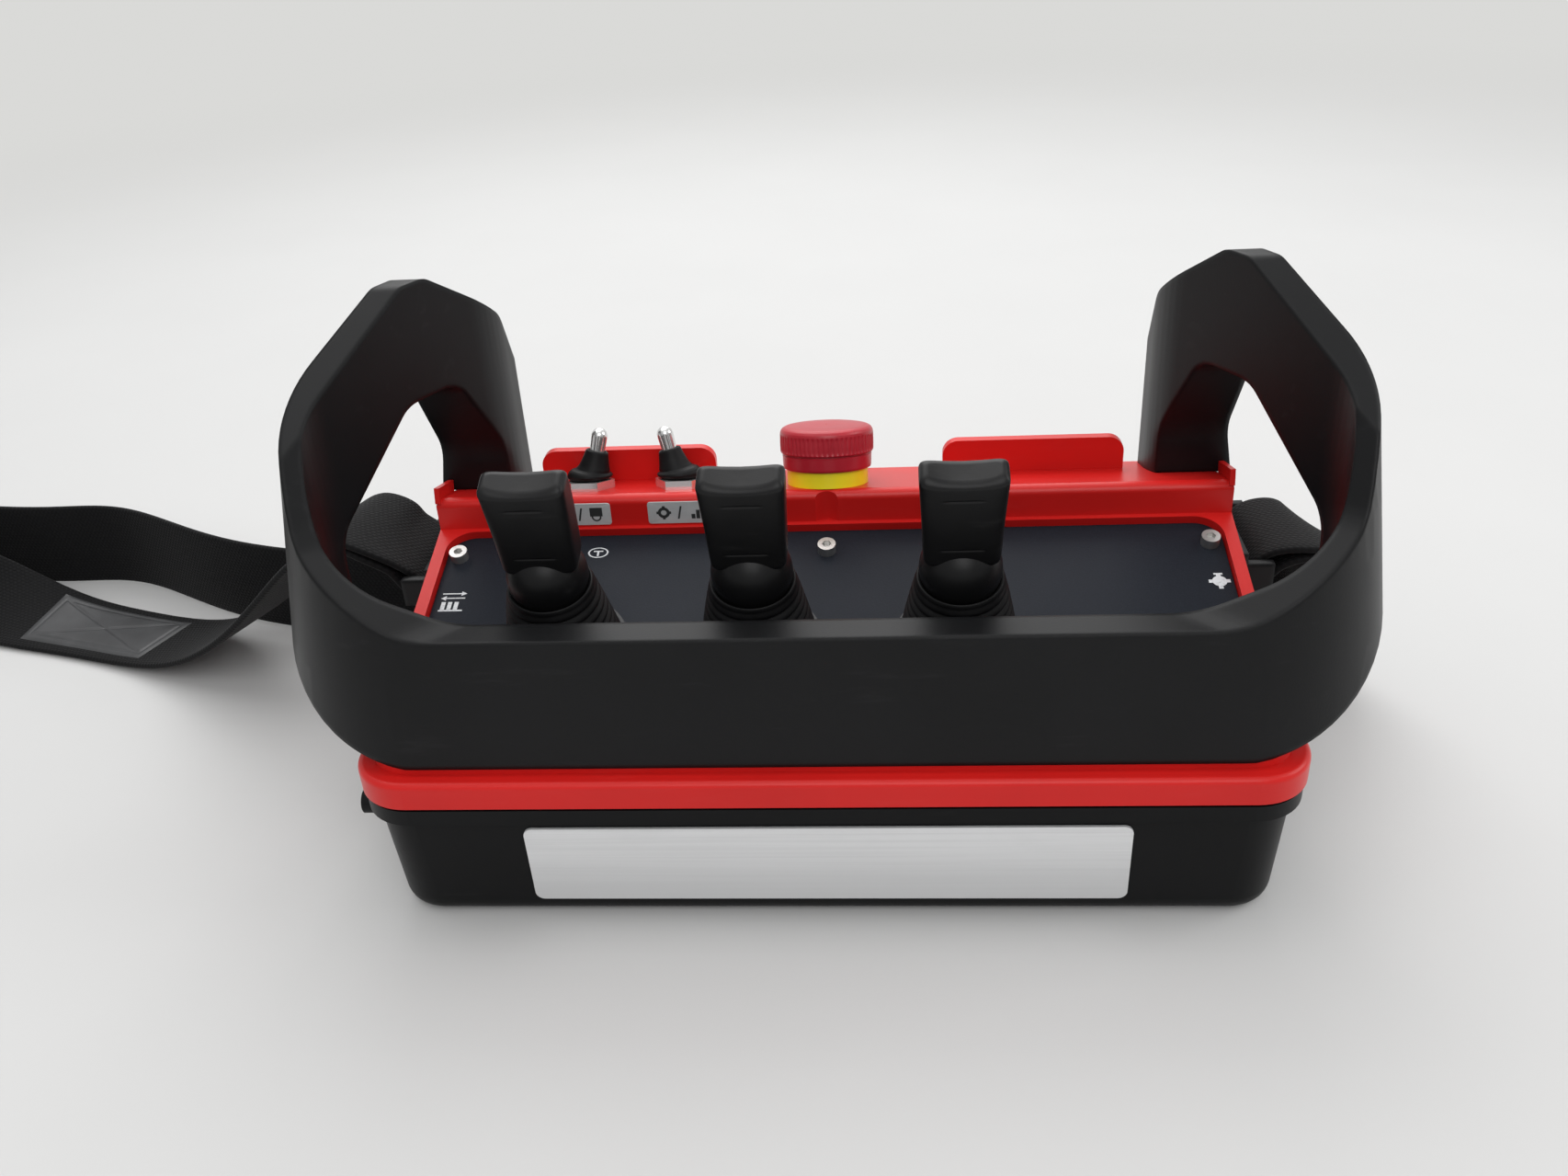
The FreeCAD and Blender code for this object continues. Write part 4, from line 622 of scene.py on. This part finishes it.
# radius falls from base to shoulder, with folds as a rectified sine, then rolls in to the mouth
def makeBoot(index, u, look):
    t = np.linspace(0, 1, look["rise"])
    climb = np.clip(t / look["rollFrom"], 0, 1)
    roll = np.clip((t - look["rollFrom"]) / (1 - look["rollFrom"]), 0, 1) * np.pi / 2
    tall, curl = look["high"] - look["low"], look["curl"]
    height = look["low"] + climb * (tall - curl) + curl * np.sin(roll)
    waves = np.abs(np.sin(np.pi * look["folds"] * climb)) - 0.5
    ripple = look["fold"] * waves * np.sqrt(np.clip(np.sin(np.pi * climb), 0, 1))  # none at either end
    radius = look["base"] + (look["shoulder"] - look["base"]) * climb ** look["slack"] + ripple
    radius = radius - (look["shoulder"] - look["mouth"]) * (1 - np.cos(roll))
    # outer skin up, inner skin down
    r = np.concatenate([radius, radius[::-1] - look["wall"]])[:, None]
    h = np.concatenate([height, height[::-1] - look["wall"] * np.sin(roll[::-1])])[:, None]
    angle = roundAngles(look["round"])
    points = onDeck(u + r * np.cos(angle), look["back"] + r * np.sin(angle), h)
    piece = gridPiece("leverBoot%d" % index, points, "boot_rubber", look["sharp"], closed=True)
    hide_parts("boot_%d" % index)
    low, high = (onDeck(u, look["back"], n) for n in (look["low"] + look["still"], look["high"]))
    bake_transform(piece)


for index, u in enumerate(bootLook["middles"], 1):
    makeBoot(index, u, bootLook)
print("lever boots made")

# lever heads over a ball, sizes in mm; form is height, width, depth and set from foot to top
paddleLook = {
    "form": [(33.4, 19.6, 11.6, -0.5), (36, 20.6, 12.6, -0.2), (40, 20.9, 13, 0), (46, 21.3, 13, 0),
             (50, 21.7, 12.8, -0.1), (54, 22.1, 12.3, -0.35), (58, 22.5, 11.6, -0.7), (61, 22.8, 10.7, -1.15),
             (64.2, 23.0, 9.6, -1.7)],
    "power": 6.0, "foot": 2.2, "rim": 2.2, "dish": 7.0, "dishEase": 1.5, "sag": 1.3, "tilt": 0.14,
    "capSteps": 14, "capEase": 0.7, "turnSteps": 12, "rows": 132, "round": 144, "sharp": 50,
    "lines": [(57.2, 4.2), (40.4, 5.6)], "lineDeep": 0.22, "lineWide": 0.28, "lineFront": 0.6,
    "ball": 11.25, "ballHeight": 28.6, "ballRows": 40, "ballRound": 72, "ballSharp": 60}


# rounded oblongs |x/a|^p + |y/b|^p = 1 stacked up the lever; quarter rounds turn in to the foot and the top
def makePaddle(index, u, look):
    low, high = look["form"][0][0], look["form"][-1][0]
    foot, rim = look["foot"], look["rim"]
    inward = np.linspace(0, 1, look["capSteps"])[:-1] ** look["capEase"]
    turn = np.linspace(0, np.pi / 2, look["turnSteps"])
    wall = np.linspace(low + foot, high - rim, look["rows"])[1:-1]
    share = np.concatenate([inward, np.ones(len(turn) * 2 + len(wall)), inward[::-1]])[:, None]
    still = 0 * inward
    height = np.concatenate([
        low + still, low + foot * (1 - np.cos(turn)), wall,
        high - rim * (1 - np.sin(turn)), high + still])[:, None]
    cut = np.concatenate([
        still - foot, foot * (np.sin(turn) - 1), 0 * wall, rim * (np.cos(turn) - 1), still - rim])[:, None]
    form = np.array(look["form"])
    wide, deep, shift = (np.interp(height, form[:, 0], form[:, k]) for k in (1, 2, 3))
    a, b = wide / 2 + cut, deep / 2 + cut
    angle = roundAngles(look["round"])[None, :]
    c, s = np.cos(angle), np.sin(angle)
    x = share * a * np.sign(c) * np.abs(c) ** (2 / look["power"])
    y = share * b * np.sign(s) * np.abs(s) ** (2 / look["power"])
    # the top sags between its two sides and rises a little to the back
    lift = np.clip((height - high) / look["dish"] + 1, 0, 1) ** look["dishEase"]
    n = height + lift * (look["tilt"] * y - look["sag"] * (1 - (x / a) ** 2))
    # two short moulded lines on the front
    front = (y < -look["lineFront"] * b) * (share == 1)
    for level, half in look["lines"]:
        groove = np.exp(-((n - level) / look["lineWide"]) ** 2) * (np.abs(x) < half)
        y = y + front * look["lineDeep"] * groove
    points = onDeck(u + x, bootLook["back"] + shift + y, n)
    piece = gridPiece("leverHead%d" % index, points, "paddle_plastic", look["sharp"])
    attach(piece, "lever_%d" % index)
    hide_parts("paddle_%d" % index)
    # the ball: r(s) = R cos s, n(s) = n0 + R sin s
    s = np.linspace(-np.pi / 2, np.pi / 2, look["ballRows"])[:, None]
    around = roundAngles(look["ballRound"])[None, :]
    r = look["ball"] * np.cos(s)
    points = onDeck(u + r * np.cos(around), bootLook["back"] + r * np.sin(around),
                    look["ballHeight"] + look["ball"] * np.sin(s))
    ball = gridPiece("leverBall%d" % index, points, "paddle_plastic", look["ballSharp"])
    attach(ball, "lever_%d" % index)


for index, u in enumerate(bootLook["middles"], 1):
    makePaddle(index, u, paddleLook)
print("lever heads made")

# toggle bonnets: a flange on the nut, a waist and a bead round the bat, leaning with it, sizes in mm
bonnetLook = {
    "middles": (-76.5, -46.5), "leans": (13.0, -13.0), "back": 14.5, "pivot": -3.0, "low": 2.7,
    "bendOver": 4.0, "still": 1.2, "carried": 7.0, "steps": 96, "round": 48, "sharp": 60,
    "profile": [  # radius and height
        (5.6, 0.0), (6.2, 0.2), (6.9, 0.7), (7.1, 1.4), (6.9, 2.1), (6.4, 2.6), (5.7, 2.9), (5.3, 3.2),
        (5.1, 3.7), (4.7, 4.8), (4.25, 6.4), (3.9, 7.8), (3.7, 8.8), (3.55, 9.3), (3.2, 9.6), (2.75, 9.5),
        (2.7, 8.6), (2.8, 6.0), (3.4, 3.0), (4.6, 0.6)]}


# turned profile whose axis bends from upright at the flange to the bat's lean at the top
def makeBonnet(index, u, lean, look):
    r, h = alongProfile(look["profile"], look["steps"])
    angle = roundAngles(look["round"])
    way = np.radians(lean) * np.clip(h / look["bendOver"], 0, 1)
    across, reach = r * np.cos(angle), h + look["low"] - look["pivot"]
    points = onConsole(u + across * np.cos(way) + reach * np.sin(way), look["back"] + r * np.sin(angle),
                       look["pivot"] + reach * np.cos(way) - across * np.sin(way))
    piece = gridPiece("toggleBonnet%d" % index, points, "boot_rubber", look["sharp"], closed=True)
    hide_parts("toggle_boot_%d" % index)
    low, high = (onConsole(u, look["back"], look["low"] + n) for n in (look["still"], look["carried"]))
    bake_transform(piece)


for index, (u, lean) in enumerate(zip(bonnetLook["middles"], bonnetLook["leans"]), 1):
    makeBonnet(index, u, lean, bonnetLook)
print("toggle bonnets made")

# stop head: turned mushroom with fine grips round its upper edge, sizes in mm
stopLook = {
    "back": 14.5, "low": 5.0, "grips": 60, "deep": 0.3, "gripLow": 5.4, "gripHigh": 10.8, "gripEnd": 0.4,
    "gripRim": 13.2, "steps": 109, "round": 480, "sharp": 35,
    "profile": [  # radius and height
        (13.1, 0.0), (13.4, 0.0), (13.7, 0.15), (13.85, 0.6), (13.9, 2.0), (14.0, 4.2), (13.7, 4.5),
        (13.7, 4.8), (14.4, 5.0), (14.6, 5.4), (14.65, 8.0), (14.6, 10.8), (14.45, 11.6), (14.0, 12.3),
        (13.2, 12.8), (12.0, 13.05), (8.0, 13.2), (3.0, 13.25), (0.0, 13.25), (0.0, 7.8), (13.1, 7.8)]}


# turned profile whose radius, between the grip heights, dips as a cosine between the ribs
def makeStopHead(look):
    r, h = alongProfile(look["profile"], look["steps"])
    angle = roundAngles(look["round"])[None, :]
    up = np.clip((h - look["gripLow"]) / look["gripEnd"], 0, 1)
    down = np.clip((look["gripHigh"] - h) / look["gripEnd"], 0, 1)
    grip = up * down * (r > look["gripRim"])
    r = r - look["deep"] * grip * (0.5 - 0.5 * np.cos(look["grips"] * angle))
    points = onConsole(r * np.cos(angle), look["back"] + r * np.sin(angle), look["low"] + h)
    piece = gridPiece("stopHead", points, "stop_red", look["sharp"], closed=True)
    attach(piece, "stop_head")
    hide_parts("estop_head")


makeStopHead(stopLook)
print("stop head made")

# label foils on the console's front face with simple generic signs, sizes in mm
labelLook = {
    "middles": (-77.2, -45.9), "wide": 19.6, "tall": 7.4, "high": 80.8, "thick": 0.35,
    "corner": 0.9, "round": 64, "sharp": 30, "layers": [(0, 0), (1, 0), (1, 0.8), (0.985, 1), (0, 1)],
    "dark": (0.46, 0.475, 0.48), "pale": (0.54, 0.55, 0.555), "smudgeSize": 3.0,
    "rough": 0.36, "spread": 0.12, "ink": (0.012, 0.014, 0.014), "inkCover": 0.96,
    "strokeAt": 0.2, "strokeWide": 0.6, "strokeTall": 4.4, "strokeLean": 0.22,
    "shutAt": 5.2, "openAt": -4.6, "lock": (4.0, 3.0), "lockHigh": 0.75,
    "bow": 1.55, "bowHigh": -0.9, "bowHollow": 0.66, "bowEnd": -0.4,
    "gearAt": -4.8, "gear": 2.2, "gearHollow": 0.4, "gearRim": 0.85, "spoke": (4.6, 0.9),
    "bars": [(4.4, -1.4, 1.2, 1.6), (5.9, -0.7, 1.2, 3.0), (7.4, 0.0, 1.2, 4.4)]}


# pale foil with dark signs drawn by place: a lock, a stroke and an open lock, then a gear, a stroke and bars
def labelFinish(name, look):
    finish, place = newFinish(name, {})
    x, z = place.split()[::2]
    v = z / mm - look["high"]

    def block(u, up, wide, tall):
        return (abs(u) < wide / 2) * (abs(v - up) < tall / 2)

    # how far out a point is on a circle, 1 at its radius
    def out(u, up, radius):
        return (u ** 2 + (v - up) ** 2) ** 0.5 / radius

    def bow(u):
        ring = out(u, look["bowHigh"], look["bow"])
        return (ring > look["bowHollow"]) * (ring < 1)

    first, second = (x / mm - middle for middle in look["middles"])
    ink = 0
    for u in (first, second):
        slant = abs(u - look["strokeAt"] - v * look["strokeLean"])
        ink = ink + (slant < look["strokeWide"] / 2) * (abs(v) < look["strokeTall"] / 2)
    shut, loose, wheel = first - look["shutAt"], first - look["openAt"], second - look["gearAt"]
    for u, kept in ((shut, v < look["bowEnd"]), (loose, loose < 0)):
        ink = ink + block(u, look["lockHigh"], *look["lock"]) + bow(u) * kept
    ring = out(wheel, 0, look["gear"])
    spokes = block(wheel, 0, *look["spoke"]) + block(wheel, 0, *look["spoke"][::-1])
    ink = ink + ((ring < look["gearRim"]) + spokes) * (ring > look["gearHollow"])
    for right, up, wide, tall in look["bars"]:
        ink = ink + block(second - right, up, wide, tall)
    smudge = place.noise(look["smudgeSize"] * mm, detail=3)
    tone = smudge.tint(rgba(look["dark"]), rgba(look["pale"]))
    ((ink > 0.5) * look["inkCover"]).tint(tone, rgba(look["ink"])).into("Base Color")
    (look["rough"] + smudge * look["spread"]).into("Roughness")
    return finish


labelFoil = labelFinish("labelFoil", labelLook)


# a rounded oblong: each quarter of a circle is moved out to its own corner; layers are its share and depth
def makeLabel(index, middle, look):
    corner = look["corner"]
    angle = roundAngles(look["round"]) + np.pi / look["round"]
    x = np.sign(np.cos(angle)) * (look["wide"] / 2 - corner) + corner * np.cos(angle)
    z = np.sign(np.sin(angle)) * (look["tall"] / 2 - corner) + corner * np.sin(angle)
    share, depth = np.array(look["layers"], float).T[:, :, None]
    points = np.stack(np.broadcast_arrays(
        middle + x * share, slopeLook["console"][0] - depth * look["thick"], look["high"] + z * share), -1)
    piece = gridPiece("labelFoil%d" % index, points * mm, "plate", look["sharp"], finish=labelFoil)
    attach(piece, "case")


for index, middle in enumerate(labelLook["middles"], 1):
    makeLabel(index, middle, labelLook)
print("label foils made")

# pale floor, shaded near the control and fading to an even pale ground further out, sizes in metres
stageLook = {
    "colour": (0.62, 0.62, 0.615), "dark": 0.97, "pale": 1.02, "cloudSize": 0.12, "rough": 0.7, "shine": 0.1,
    "far": (0.70, 0.70, 0.685), "clear": 0.6, "faded": 1.5, "half": 6.0}


# 1 for rays from the camera and for those that gloss and glass send on
def seenRay(wire):
    kinds = ("Is Camera Ray", "Is Glossy Ray", "Is Transmission Ray")
    return sum(wire.node("ShaderNodeLightPath", out=kind) for kind in kinds).least(1.0)


# one square, z = 0; the share of even ground eases from 0 to 1 with the distance from the middle
def makeStage(look):
    finish, place = newFinish("paleFloor", {"Roughness": look["rough"], "Specular IOR Level": look["shine"]})
    cloud = place.noise(look["cloudSize"], detail=4)
    cloud.tint(rgba(look["colour"], look["dark"]), rgba(look["colour"], look["pale"])).into("Base Color")
    x, y = place.split()[:2]
    away = ((x ** 2 + y ** 2) ** 0.5).ease(look["clear"], look["faded"])
    even = place.node("ShaderNodeEmission", None, {"Color": rgba(look["far"])})
    tree = finish.node_tree
    floor = Wire(tree, tree.nodes["Principled BSDF"].outputs[0])
    mixed = place.node("ShaderNodeMixShader", None, {0: away * seenRay(place), 1: floor, 2: even})
    tree.links.new(mixed.socket, tree.nodes["Material Output"].inputs["Surface"])
    half = look["half"]
    corners = [(-half, -half, 0), (half, -half, 0), (half, half, 0), (-half, half, 0)]
    mesh = bpy.data.meshes.new("paleStage")
    mesh.from_pydata(corners, [], [(0, 1, 2, 3)])
    mesh.materials.append(finish)
    link(bpy.data.objects.new("paleStage", mesh))


makeStage(stageLook)

# soft room, bright above and behind; lamps as place, aim and size in metres, and power in watts
lightLook = {
    "above": (0.65, 0.65, 0.65), "front": (0.34, 0.34, 0.3468), "upShare": 0.6, "backShare": 0.4,
    "dimAt": -0.5, "brightAt": 0.6, "lampUp": (0.0, 1.0, 0.2),
    "lamps": {
        "softTop": ((-0.25, 0.35, 1.25), (0, 0.02, 0.05), 1.3, 6.0),
        "softRight": ((1.15, 0.1, 0.75), (0, 0, 0.08), 0.7, 4.0),
        "softFront": ((0.15, -1.15, 1.2), (0, 0, 0.06), 1.0, 8.0),
        "softBack": ((-0.1, 1.05, 1.0), (0, 0, 0.1), 1.1, 7.5)}}


# puts a lamp or camera at a place, with its x axis along side and its z axis along back
def standAt(thing, place, side, back):
    turn = np.stack([side, np.cross(back, side), back], 1)
    thing.matrix_world = Matrix([(*row, at) for row, at in zip(turn, place)] + [(0, 0, 0, 1)])
    return link(thing)


def makeLight(look):
    world = bpy.data.worlds.new("softRoom")
    bpy.context.scene.world = world
    world.use_nodes = True
    way = Wire(world.node_tree).node("ShaderNodeTexCoord", out="Generated")
    y, z = way.split()[1:]
    level = (z * look["upShare"] + y * look["backShare"]).ease(look["dimAt"], look["brightAt"])
    tone = level.tint(rgba(look["front"]), rgba(look["above"]))
    tone = way.node("ShaderNodeLightPath", out="Is Camera Ray").tint(tone, rgba(stageLook["far"]))
    world.node_tree.links.new(tone.socket, world.node_tree.nodes["Background"].inputs["Color"])
    for name, (place, aim, size, power) in look["lamps"].items():
        lamp = bpy.data.lights.new(name, "AREA")
        lamp.size, lamp.energy = size, power
        back = unit(np.array(place) - np.array(aim))
        standAt(bpy.data.objects.new(name, lamp), place, unit(np.cross(look["lampUp"], back)), back)


makeLight(lightLook)

# camera at the photograph's place, in metres, with its lens and sensor in mm
cameraLook = {
    "place": (0.0187, -0.3489, 0.2685), "right": (0.9969, 0.0577, -0.0542), "up": (0.0182, 0.4992, 0.8663),
    "lens": 31.23, "sensor": 36.0, "nearest": 0.01}


def makeCamera(look):
    camera = bpy.data.cameras.new("photoCamera")
    camera.lens, camera.sensor_width, camera.sensor_fit = look["lens"], look["sensor"], "HORIZONTAL"
    camera.clip_start = look["nearest"]
    right = unit(np.array(look["right"]))
    back = unit(np.cross(right, look["up"]))
    holder = bpy.data.objects.new("photoCamera", camera)
    bpy.context.scene.camera = standAt(holder, look["place"], right, back)


makeCamera(cameraLook)
print("stage, lights and camera set")
